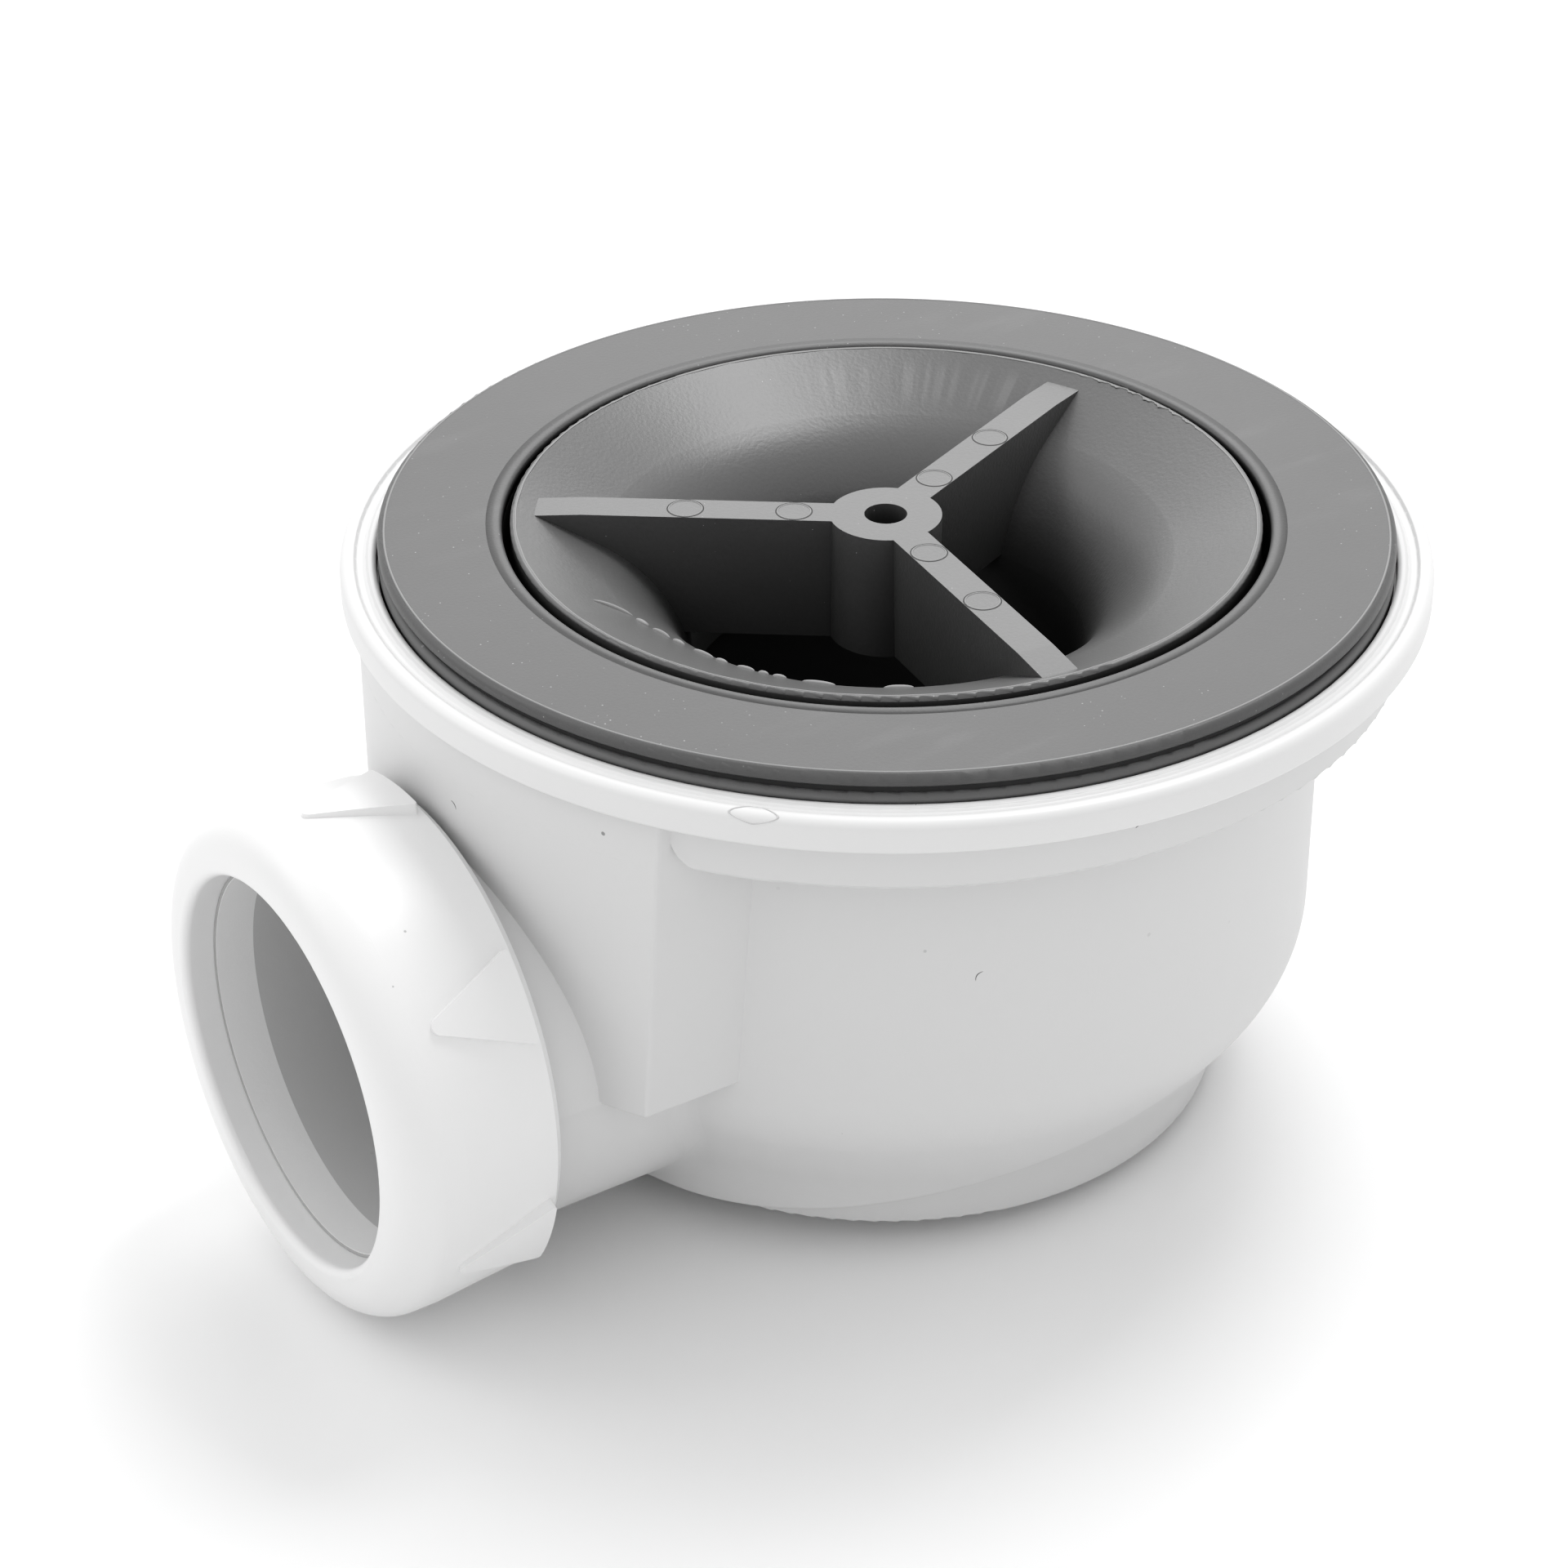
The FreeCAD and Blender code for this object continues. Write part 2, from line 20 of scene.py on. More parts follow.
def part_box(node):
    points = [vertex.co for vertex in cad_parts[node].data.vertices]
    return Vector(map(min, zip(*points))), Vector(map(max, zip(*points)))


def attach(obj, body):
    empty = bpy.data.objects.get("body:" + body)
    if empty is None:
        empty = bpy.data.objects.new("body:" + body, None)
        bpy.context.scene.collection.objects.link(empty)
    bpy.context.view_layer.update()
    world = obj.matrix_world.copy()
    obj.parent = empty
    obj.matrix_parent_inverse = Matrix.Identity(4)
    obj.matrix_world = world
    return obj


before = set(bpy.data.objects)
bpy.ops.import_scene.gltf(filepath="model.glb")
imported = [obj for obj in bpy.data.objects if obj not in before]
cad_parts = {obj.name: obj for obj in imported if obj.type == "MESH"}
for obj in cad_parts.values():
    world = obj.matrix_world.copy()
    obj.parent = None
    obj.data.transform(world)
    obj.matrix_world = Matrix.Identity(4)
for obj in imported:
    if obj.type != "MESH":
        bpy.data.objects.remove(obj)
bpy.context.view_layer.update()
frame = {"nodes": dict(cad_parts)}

MM = 0.001
SENSOR_WIDTH = 36.0
CLIP_START = 0.01
MIX_FACTOR, MIX_FIRST, MIX_SECOND, MIX_COLOUR = 0, 6, 7, 2
ALL_CHANNELS = 3
AXIS_UP = Vector((0.0, 0.0, 1.0))
log = logging.getLogger("shower_trap")


def grey_colour(grey: float) -> tuple[float, float, float, float]:
    """Gives the colour of a linear grey."""
    return (grey, grey, grey, 1.0)


class Body(Enum):
    """The bodies that the added pieces ride on."""

    TRAP = "trap"
    COLLAR = "collar"
    INSERT = "insert"
    WASHER = "washer"
    NUT = "nut"


class Slot(Enum):
    """The material slots that the added pieces belong to."""

    WHITE = "white_plastic"
    NUT = "nut_plastic"
    GREY = "grey_plastic"


class AlongAxis(Enum):
    """What a turned piece turns about."""

    UP = "z"
    OUTLET = "x"


class Sheet:
    """A node tree, with short ways to add a node and to join two sockets."""

    def __init__(self, tree: bpy.types.NodeTree) -> None:
        """Takes the tree and leaves it empty.

        Args:
            tree: the material's, world's or group's own node tree.
        """
        self.tree = tree
        self.tree.nodes.clear()

    def add(self, kind: str, **settings: object) -> bpy.types.Node:
        """Adds a node.

        Args:
            kind: the node's Blender type name, without its ShaderNode start.
            settings: properties of the node to set.

        Returns:
            The new node.
        """
        name = kind if kind.startswith("NodeGroup") else "ShaderNode" + kind
        node = self.tree.nodes.new(name)
        for key, value in settings.items():
            setattr(node, key, value)
        return node

    def join(self, source: bpy.types.NodeSocket, target: bpy.types.NodeSocket) -> None:
        """Joins an output to an input."""
        self.tree.links.new(source, target)

    def math(self, operation: str, first: object, second: object = 0.0) -> bpy.types.NodeSocket:
        """Adds a Math node.

        Args:
            operation: the node's operation.
            first: a socket or a number.
            second: a socket or a number.

        Returns:
            The node's result.
        """
        node = self.add("Math", operation=operation)
        for socket, value in zip(node.inputs, (first, second)):
            if isinstance(value, bpy.types.NodeSocket):
                self.join(value, socket)
            else:
                socket.default_value = value
        return node.outputs[0]

    def length(self, first: bpy.types.NodeSocket, second: bpy.types.NodeSocket) -> bpy.types.NodeSocket:
        """Gives the length of a flat vector.

        Args:
            first: its first coordinate.
            second: its second coordinate.

        Returns:
            The square root of the sum of their squares.
        """
        squares = [self.math("MULTIPLY", part, part) for part in (first, second)]
        return self.math("SQRT", self.math("ADD", *squares))

    def weighed(self, *parts: tuple[bpy.types.NodeSocket, float]) -> bpy.types.NodeSocket:
        """Adds values by their shares.

        Args:
            parts: each value and the share that it is multiplied by.

        Returns:
            The sum.
        """
        total, *others = [self.math("MULTIPLY", value, share) for value, share in parts]
        for other in others:
            total = self.math("ADD", total, other)
        return total

    def ramp(self, value: bpy.types.NodeSocket, low: float, high: float) -> bpy.types.NodeSocket:
        """Maps low to 0 and high to 1 with a smooth step, clamped.

        Args:
            value: what is mapped.
            low: the value that becomes 0.
            high: the value that becomes 1.

        Returns:
            The mapped value.
        """
        node = self.add("MapRange", interpolation_type="SMOOTHSTEP")
        self.join(value, node.inputs["Value"])
        node.inputs["From Min"].default_value = low
        node.inputs["From Max"].default_value = high
        return node.outputs["Result"]


class EffectGroup:
    """A shader node group with named inputs and outputs."""

    def __init__(self, name: str, inputs: dict[str, float | None], outputs: tuple[str, ...]) -> None:
        """Makes the group and its sockets.

        Args:
            name: the group's name.
            inputs: each input's name and default, with None for the vector that it reads.
            outputs: the names of the values that it puts out.
        """
        self.tree = bpy.data.node_groups.new(name, "ShaderNodeTree")
        for key, value in inputs.items():
            kind = "NodeSocketVector" if value is None else "NodeSocketFloat"
            socket = self.tree.interface.new_socket(name=key, in_out="INPUT", socket_type=kind)
            if value is not None:
                socket.default_value = value
        for key in outputs:
            self.tree.interface.new_socket(name=key, in_out="OUTPUT", socket_type="NodeSocketFloat")
        self.sheet = Sheet(self.tree)
        self.inside = self.sheet.add("NodeGroupInput").outputs
        self.result = self.sheet.add("NodeGroupOutput").inputs

    def coordinates(self) -> bpy.types.bpy_prop_collection:
        """Splits the group's place into its three coordinates."""
        split = self.sheet.add("SeparateXYZ")
        self.sheet.join(self.inside["Place"], split.inputs["Vector"])
        return split.outputs

    def noise(self, scale: bpy.types.NodeSocket | float, detail: float, stretch: Vector | None = None,
              shift: float = 0.0) -> bpy.types.NodeSocket:
        """Adds a noise that reads the group's place.

        Args:
            scale: how fine the noise is, as a number or a socket.
            detail: how many finer layers it has.
            stretch: how much finer it is along each axis.
            shift: where in the noise it starts.

        Returns:
            The noise's value.
        """
        place = self.inside["Place"]
        if stretch is not None or shift:
            mapping = self.sheet.add("Mapping")
            mapping.inputs["Location"].default_value = (shift, shift, shift)
            if stretch is not None:
                mapping.inputs["Scale"].default_value = stretch
            self.sheet.join(place, mapping.inputs["Vector"])
            place = mapping.outputs["Vector"]
        node = self.sheet.add("TexNoise")
        node.inputs["Detail"].default_value = detail
        self.sheet.join(place, node.inputs["Vector"])
        if isinstance(scale, bpy.types.NodeSocket):
            self.sheet.join(scale, node.inputs["Scale"])
        else:
            node.inputs["Scale"].default_value = scale
        return node.outputs[0]


class Effects:
    """The effects that more than one material uses, each built once."""

    def __init__(self) -> None:
        """Builds every group."""
        self.grain = self.mould_grain()
        self.dust = self.dust_specks()
        self.marks = self.handling_marks()
        self.bore = self.painted_bore_shade()
        self.foot = self.painted_foot_shade()
        self.streaks = self.tool_streak_highlights()

    @staticmethod
    def mould_grain() -> bpy.types.NodeTree:
        """Builds the fine spark-eroded grain of a mould, with slow changes of tone.

        Returns:
            The group, which puts out a tone from 0 to 1 and a height.
        """
        group = EffectGroup("mould_grain", {"Place": None, "Scale": 2600.0}, ("Tone", "Height"))
        fine = group.noise(group.inside["Scale"], detail=3.0)
        slow = group.noise(38.0, detail=2.0, shift=3.1)
        waves = group.noise(210.0, detail=2.0, shift=7.7)
        sheet = group.sheet
        sheet.join(sheet.weighed((slow, 0.45), (waves, 0.2), (fine, 0.35)), group.result["Tone"])
        sheet.join(sheet.weighed((fine, 0.8), (waves, 0.2)), group.result["Height"])
        return group.tree

    @staticmethod
    def dust_specks() -> bpy.types.NodeTree:
        """Builds sparse specks of dust of mixed sizes.

        Returns:
            The group, which puts out 1 on a speck and 0 elsewhere.
        """
        group = EffectGroup("dust_specks", {"Place": None, "Scale": 420.0, "Size": 0.12}, ("Mask",))
        sheet = group.sheet
        cells = sheet.add("TexVoronoi", feature="F1")
        sheet.join(group.inside["Place"], cells.inputs["Vector"])
        sheet.join(group.inside["Scale"], cells.inputs["Scale"])
        split = sheet.add("SeparateColor")
        sheet.join(cells.outputs["Color"], split.inputs["Color"])
        chosen = sheet.ramp(split.outputs["Red"], low=0.4, high=1.0)
        radius = sheet.math("MULTIPLY", chosen, group.inside["Size"])
        inside = sheet.math("SUBTRACT", radius, cells.outputs["Distance"])
        patches = sheet.ramp(group.noise(26.0, detail=1.0, shift=1.7), low=0.38, high=0.62)
        speck = sheet.ramp(inside, low=0.0, high=0.02)
        sheet.join(sheet.math("MULTIPLY", speck, patches), group.result["Mask"])
        return group.tree

    @staticmethod
    def handling_marks() -> bpy.types.NodeTree:
        """Builds faint rubbed streaks that change the gloss.

        Returns:
            The group, which puts out 1 on a streak and 0 elsewhere.
        """
        group = EffectGroup("handling_marks", {"Place": None, "Scale": 60.0}, ("Mask",))
        sheet = group.sheet
        streak = group.noise(group.inside["Scale"], detail=4.0, stretch=Vector((1.0, 4.0, 0.8)))
        cloud = group.noise(22.0, detail=2.0, shift=5.3)
        lines = sheet.ramp(streak, low=0.52, high=0.7)
        patches = sheet.ramp(cloud, low=0.4, high=0.65)
        sheet.join(sheet.math("MULTIPLY", lines, patches), group.result["Mask"])
        return group.tree

    @staticmethod
    def painted_bore_shade() -> bpy.types.NodeTree:
        """Builds the painted shade of the outlet's deep bore, whose wall is painted darker than the
        outside.

        Returns:
            The group, which puts out 1 deep in the bore and 0 elsewhere.
        """
        inputs = {"Place": None, "Height": 0.0223, "Radius": 0.0208, "Mouth": 0.0666, "Deep": 0.034}
        group = EffectGroup("painted_bore_shade", inputs, ("Mask",))
        sheet = group.sheet
        x, y, z = group.coordinates()
        up = sheet.math("SUBTRACT", z, group.inside["Height"])
        near = sheet.math("LESS_THAN", sheet.length(up, y), group.inside["Radius"])
        before = sheet.math("LESS_THAN", x, group.inside["Mouth"])
        after = sheet.math("GREATER_THAN", x, group.inside["Deep"])
        along = sheet.math("MULTIPLY", before, after)
        sheet.join(sheet.math("MULTIPLY", near, along), group.result["Mask"])
        return group.tree

    @staticmethod
    def painted_foot_shade() -> bpy.types.NodeTree:
        """Builds the painted shade of the downward-facing foot, which ends at the sloping step.

        Returns:
            The group, which puts out 1 below the step and 0 above it.
        """
        group = EffectGroup("painted_foot_shade", {"Place": None, "Height": 0.0106, "Slope": 0.32}, ("Mask",))
        sheet = group.sheet
        x, _, z = group.coordinates()
        fall = sheet.math("MULTIPLY", x, group.inside["Slope"])
        step = sheet.math("SUBTRACT", group.inside["Height"], fall)
        sheet.join(sheet.math("LESS_THAN", z, step), group.result["Mask"])
        return group.tree

    @staticmethod
    def tool_streak_highlights() -> bpy.types.NodeTree:
        """Builds the painted highlights of the short streaks that the mould's cutter left high on the
        funnel's far slope.

        Returns:
            The group, which puts out 1 on a streak and 0 elsewhere.
        """
        inputs = {"Place": None, "Bearing": -2.27, "Half Angle": 0.42, "Radius": 0.0343,
                  "Half Reach": 0.0036, "Count": 22.0}
        group = EffectGroup("tool_streak_highlights", inputs, ("Mask",))
        sheet = group.sheet
        x, y, _ = group.coordinates()
        bearing = sheet.math("ARCTAN2", y, x)
        off = sheet.math("ABSOLUTE", sheet.math("SUBTRACT", bearing, group.inside["Bearing"]))
        within = sheet.ramp(sheet.math("DIVIDE", off, group.inside["Half Angle"]), low=1.0, high=0.75)
        past = sheet.math("SUBTRACT", sheet.length(x, y), group.inside["Radius"])
        reach = sheet.math("ABSOLUTE", past)
        near = sheet.ramp(sheet.math("DIVIDE", reach, group.inside["Half Reach"]), low=1.0, high=0.2)
        turns = sheet.math("MULTIPLY", bearing, group.inside["Count"])
        lines = sheet.add("TexNoise", noise_dimensions="1D")
        lines.inputs["Scale"].default_value = 1.0
        lines.inputs["Detail"].default_value = 1.0
        sheet.join(turns, lines.inputs["W"])
        streak = sheet.ramp(lines.outputs[0], low=0.42, high=0.66)
        area = sheet.math("MULTIPLY", within, near)
        sheet.join(sheet.math("MULTIPLY", streak, area), group.result["Mask"])
        return group.tree


@dataclass(frozen=True)
class Moulding:
    """A moulded finish in one grey.

    Attributes:
        name: the material's name.
        grey: linear reflectance of the clean surface.
        roughness: roughness of the clean surface.
        grain_scale: how fine the grain is.
        grain_depth: depth of the grain in metres.
        tone_spread: how much the grey changes over the surface, as a share.
        dust_grey: linear grey of a dust speck.
        dust_size: size of the largest speck, as a share of a dust cell.
        dust_scale: how many dust cells there are to the metre.
        rubbed_roughness: roughness on a rubbed streak.
        specular: the specular level, which is 0.5 for common plastic.
    """

    name: str
    grey: float
    roughness: float
    grain_scale: float
    grain_depth: float
    tone_spread: float
    dust_grey: float
    dust_size: float
    dust_scale: float
    rubbed_roughness: float
    specular: float = 0.5

    def material(self, effects: Effects) -> bpy.types.Material:
        """Builds the material.

        Args:
            effects: the groups that it uses.

        Returns:
            The material.
        """
        made = bpy.data.materials.new(self.name)
        made.use_nodes = True
        made.diffuse_color = grey_colour(self.grey)
        sheet = Sheet(made.node_tree)
        place = sheet.add("TexCoord").outputs["Object"]
        grain = self.effect(sheet, effects.grain, place, {"Scale": self.grain_scale})
        specks = {"Scale": self.dust_scale, "Size": self.dust_size}
        dust = self.effect(sheet, effects.dust, place, specks)
        marks = self.effect(sheet, effects.marks, place, {})
        shader = sheet.add("BsdfPrincipled")
        shader.inputs["Specular IOR Level"].default_value = self.specular
        tone = sheet.add("Mix", data_type="RGBA")
        low = self.grey * (1.0 - self.tone_spread)
        high = min(1.0, self.grey * (1.0 + self.tone_spread))
        tone.inputs[MIX_FIRST].default_value = grey_colour(low)
        tone.inputs[MIX_SECOND].default_value = grey_colour(high)
        sheet.join(grain.outputs["Tone"], tone.inputs[MIX_FACTOR])
        # The tint adds a finish's painted shade or painted highlights.
        clean = self.tint(sheet, effects, place, tone.outputs[MIX_COLOUR])
        dusty = self.blended(sheet, dust.outputs["Mask"], clean, self.dust_grey)
        sheet.join(dusty, shader.inputs["Base Color"])
        gloss = sheet.add("MapRange")
        gloss.inputs["To Min"].default_value = self.roughness
        gloss.inputs["To Max"].default_value = self.rubbed_roughness
        sheet.join(marks.outputs["Mask"], gloss.inputs["Value"])
        sheet.join(gloss.outputs["Result"], shader.inputs["Roughness"])
        bump = sheet.add("Bump")
        bump.inputs["Distance"].default_value = self.grain_depth
        sheet.join(grain.outputs["Height"], bump.inputs["Height"])
        sheet.join(bump.outputs["Normal"], shader.inputs["Normal"])
        sheet.join(shader.outputs["BSDF"], sheet.add("OutputMaterial").inputs["Surface"])
        return made

    def tint(self, sheet: Sheet, effects: Effects, place: bpy.types.NodeSocket,
             colour: bpy.types.NodeSocket) -> bpy.types.NodeSocket:
        """Changes the clean colour where a finish has painted shade or painted highlights of its own.

        Args:
            sheet: the material's node tree.
            effects: the groups that it may use.
            place: the coordinates that they read.
            colour: the clean colour.

        Returns:
            The colour with the painted shade or highlights, which is the clean colour for a common
            finish.
        """
        return colour

    @staticmethod
    def blended(sheet: Sheet, mask: bpy.types.NodeSocket, colour: bpy.types.NodeSocket,
                grey: float) -> bpy.types.NodeSocket:
        """Blends a colour into a grey.

        Args:
            sheet: the material's node tree.
            mask: how much of the grey shows.
            colour: the colour where the mask is 0.
            grey: linear grey where the mask is 1.

        Returns:
            The blended colour.
        """
        mix = sheet.add("Mix", data_type="RGBA")
        mix.inputs[MIX_SECOND].default_value = grey_colour(grey)
        sheet.join(mask, mix.inputs[MIX_FACTOR])
        sheet.join(colour, mix.inputs[MIX_FIRST])
        return mix.outputs[MIX_COLOUR]

    @staticmethod
    def effect(sheet: Sheet, tree: bpy.types.NodeTree, place: bpy.types.NodeSocket,
               values: dict[str, float]) -> bpy.types.Node:
        """Puts an effect group into a material.

        Args:
            sheet: the material's node tree.
            tree: the group.
            place: the coordinates that it reads.
            values: its inputs.

        Returns:
            The group's node.
        """
        node = sheet.add("Group", node_tree=tree)
        sheet.join(place, node.inputs["Place"])
        for key, value in values.items():
            node.inputs[key].default_value = value
        return node


@dataclass(frozen=True)
class PaintedBoreShadeMoulding(Moulding):
    """A moulded finish with painted shade on the wall deep in the outlet's bore.

    Attributes:
        bore_painted_shade_grey: linear grey of the painted shade on that wall.
    """

    bore_painted_shade_grey: float = 0.56

    def tint(self, sheet: Sheet, effects: Effects, place: bpy.types.NodeSocket,
             colour: bpy.types.NodeSocket) -> bpy.types.NodeSocket:
        """Darkens the colour deep in the bore with painted shade.

        Args:
            sheet: the material's node tree.
            effects: the groups that it may use.
            place: the coordinates that they read.
            colour: the clean colour.

        Returns:
            The colour with the bore's painted shade.
        """
        # Painted shade: the wall deep in the bore is darkened where little light reaches.
        mask = self.effect(sheet, effects.bore, place, {}).outputs["Mask"]
        return self.blended(sheet, mask, colour, self.bore_painted_shade_grey)


@dataclass(frozen=True)
class PaintedFootShadeMoulding(PaintedBoreShadeMoulding):
    """A finish with the bore's painted shade, and painted shade on the foot below the sloping step.

    Attributes:
        foot_painted_shade_grey: linear grey of the painted shade on the foot.
    """

    foot_painted_shade_grey: float = 0.68

    def tint(self, sheet: Sheet, effects: Effects, place: bpy.types.NodeSocket,
             colour: bpy.types.NodeSocket) -> bpy.types.NodeSocket:
        """Darkens the colour with painted shade deep in the bore and on the foot.

        Args:
            sheet: the material's node tree.
            effects: the groups that it may use.
            place: the coordinates that they read.
            colour: the clean colour.

        Returns:
            The colour with both painted shades.
        """
        above = super().tint(sheet, effects, place, colour)
        # Painted shade: the foot below the sloping step faces downwards and is darkened where less light
        # reaches it.
        mask = self.effect(sheet, effects.foot, place, {}).outputs["Mask"]
        return self.blended(sheet, mask, above, self.foot_painted_shade_grey)


@dataclass(frozen=True)
class StreakHighlightMoulding(Moulding):
    """A moulded finish with painted highlights on the cutter's streaks on one part of the funnel.

    Attributes:
        streak_highlight_grey: linear grey of the painted highlight on a streak.
    """

    streak_highlight_grey: float = 0.17

    def tint(self, sheet: Sheet, effects: Effects, place: bpy.types.NodeSocket,
             colour: bpy.types.NodeSocket) -> bpy.types.NodeSocket:
        """Lightens the colour on the streaks with painted highlights.

        Args:
            sheet: the material's node tree.
            effects: the groups that it may use.
            place: the coordinates that they read.
            colour: the clean colour.

        Returns:
            The colour with the streaks' painted highlights.
        """
        # Painted highlight: the cutter's streaks on the far slope are lightened as if catching the light
        # from above.
        mask = self.effect(sheet, effects.streaks, place, {}).outputs["Mask"]
        return self.blended(sheet, mask, colour, self.streak_highlight_grey)


# The body's white carries painted shade deep in the bore and on the foot.
WHITE_BODY = PaintedFootShadeMoulding(
    "white_body_plastic", grey=0.715, roughness=0.42, grain_scale=3000.0, grain_depth=0.00001,
    tone_spread=0.015, dust_grey=0.30, dust_size=0.07, dust_scale=260.0, rubbed_roughness=0.34,
)
# Painted light: the body's own white plastic, made lighter on the rim's beads and the gate mark because
# more light falls there from above.
WHITE_RIM_PAINTED_LIGHT = Moulding(
    "white_rim_painted_light", grey=0.80, roughness=0.40, grain_scale=3000.0, grain_depth=0.00001,
    tone_spread=0.015, dust_grey=0.30, dust_size=0.07, dust_scale=260.0, rubbed_roughness=0.34,
)
WHITE_NUT = Moulding(
    "white_nut_plastic", grey=0.88, roughness=0.36, grain_scale=3200.0, grain_depth=0.000008,
    tone_spread=0.012, dust_grey=0.45, dust_size=0.06, dust_scale=240.0, rubbed_roughness=0.3,
)
GREY_COLLAR = Moulding(
    "grey_collar_plastic", grey=0.104, roughness=0.44, grain_scale=2600.0, grain_depth=0.00003,
    tone_spread=0.14, dust_grey=0.34, dust_size=0.13, dust_scale=1300.0, rubbed_roughness=0.38,
)
# The insert's grey carries painted highlights on the cutter's streaks.
GREY_INSERT = StreakHighlightMoulding(
    "grey_insert_plastic", grey=0.135, roughness=0.34, grain_scale=2400.0, grain_depth=0.00003,
    tone_spread=0.14, dust_grey=0.45, dust_size=0.07, dust_scale=1100.0, rubbed_roughness=0.3,
    specular=0.6,
)
GREY_FLASH = Moulding(
    "grey_flash", grey=0.3, roughness=0.5, grain_scale=2600.0, grain_depth=0.00001, tone_spread=0.05,
    dust_grey=0.6, dust_size=0.05, dust_scale=420.0, rubbed_roughness=0.5,
)
# Painted shade for the fine groove round the gate mark.
GATE_PAINTED_SHADE = Moulding(
    "painted_gate_shade", grey=0.6, roughness=0.5, grain_scale=3000.0, grain_depth=0.00001,
    tone_spread=0.02, dust_grey=0.4, dust_size=0.02, dust_scale=260.0, rubbed_roughness=0.45,
)
# Painted highlight for the flange's rounded top edge.
EDGE_PAINTED_HIGHLIGHT = Moulding(
    "grey_edge_painted_highlight", grey=0.27, roughness=0.45, grain_scale=2600.0, grain_depth=0.00001,
    tone_spread=0.08, dust_grey=0.5, dust_size=0.05, dust_scale=800.0, rubbed_roughness=0.4,
)
FIBRE = Moulding(
    "dust_fibre", grey=0.08, roughness=0.8, grain_scale=2600.0, grain_depth=0.000004, tone_spread=0.05,
    dust_grey=0.2, dust_size=0.02, dust_scale=420.0, rubbed_roughness=0.8,
)
SEAL_RUBBER = Moulding(
    "grey_seal_rubber", grey=0.19, roughness=0.62, grain_scale=2200.0, grain_depth=0.00002,
    tone_spread=0.05, dust_grey=0.4, dust_size=0.08, dust_scale=420.0, rubbed_roughness=0.5,
)
GASKET_RUBBER = Moulding(
    "dark_gasket_rubber", grey=0.075, roughness=0.6, grain_scale=2200.0, grain_depth=0.00002,
    tone_spread=0.06, dust_grey=0.3, dust_size=0.08, dust_scale=420.0, rubbed_roughness=0.5,
)
# The outlet seal's white carries the painted shade deep in the bore.
PALE_RUBBER = PaintedBoreShadeMoulding(
    "pale_outlet_rubber", grey=0.86, roughness=0.5, grain_scale=2200.0, grain_depth=0.00002,
    tone_spread=0.03, dust_grey=0.4, dust_size=0.06, dust_scale=420.0, rubbed_roughness=0.42,
)
WASHER = Moulding(
    "pale_washer_plastic", grey=0.86, roughness=0.45, grain_scale=3200.0, grain_depth=0.000008,
    tone_spread=0.02, dust_grey=0.45, dust_size=0.05, dust_scale=260.0, rubbed_roughness=0.4,
)
# Painted shade for the corner under the sloping step.
STEP_PAINTED_SHADE = Moulding(
    "painted_step_shade", grey=0.52, roughness=0.5, grain_scale=3000.0, grain_depth=0.00001,
    tone_spread=0.02, dust_grey=0.4, dust_size=0.02, dust_scale=260.0, rubbed_roughness=0.45,
)
# Painted shade for the groove between the washer and the nut's lip.
LIP_PAINTED_SHADE = Moulding(
    "lip_groove_painted_shade", grey=0.42, roughness=0.7, grain_scale=2200.0, grain_depth=0.000008,
    tone_spread=0.05, dust_grey=0.3, dust_size=0.05, dust_scale=420.0, rubbed_roughness=0.6,
)
# Painted shade for the groove round each ejector mark.
MARK_PAINTED_SHADE = Moulding(
    "mark_groove_painted_shade", grey=0.035, roughness=0.6, grain_scale=2600.0, grain_depth=0.000008,
    tone_spread=0.05, dust_grey=0.1, dust_size=0.02, dust_scale=800.0, rubbed_roughness=0.5,
)


class Wardrobe:
    """Every finish of the object, each built once."""

    def __init__(self) -> None:
        """Builds the shared effects."""
        self.effects = Effects()
        self.made: dict[str, bpy.types.Material] = {}

    def material(self, finish: Moulding) -> bpy.types.Material:
        """Gives the material of a finish.

        Args:
            finish: the finish.

        Returns:
            Its material, built at the first call.
        """
        if finish.name not in self.made:
            self.made[finish.name] = finish.material(self.effects)
        return self.made[finish.name]

    def dress(self, node: bpy.types.Object, finish: Moulding) -> None:
        """Gives a CAD node its finish.

        Args:
            node: the node's object.
            finish: the finish that it takes.
        """
        for place in node.material_slots:
            place.material = self.material(finish)
        log.info("dressed %s in %s", node.name, finish.name)


@dataclass
class Shop:
    """What every sub-assembly needs to build its pieces.

    Attributes:
        nodes: the CAD nodes by name.
        wardrobe: the finishes.
    """

    nodes: dict[str, bpy.types.Object]
    wardrobe: Wardrobe

    def piece(self, name: str, mesh: bmesh.types.BMesh, finish: Moulding, body: Body,
              smooth: bool = True) -> bpy.types.Object:
        """Makes an object of a mesh, dresses it and lets it ride on its body.

        Args:
            name: the piece's name.
            mesh: its mesh, which is freed.
            finish: its finish.
            body: the body that it moves with.
            smooth: whether its faces are shaded smooth.

        Returns:
            The piece.
        """
        for face in mesh.faces:
            face.smooth = smooth
        data = bpy.data.meshes.new(name)
        mesh.to_mesh(data)
        mesh.free()
        data.materials.append(self.wardrobe.material(finish))
        made = bpy.data.objects.new(name, data)
        bpy.context.scene.collection.objects.link(made)
        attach(made, body.value)
        log.info("made %s: %d faces", name, len(data.polygons))
        return made


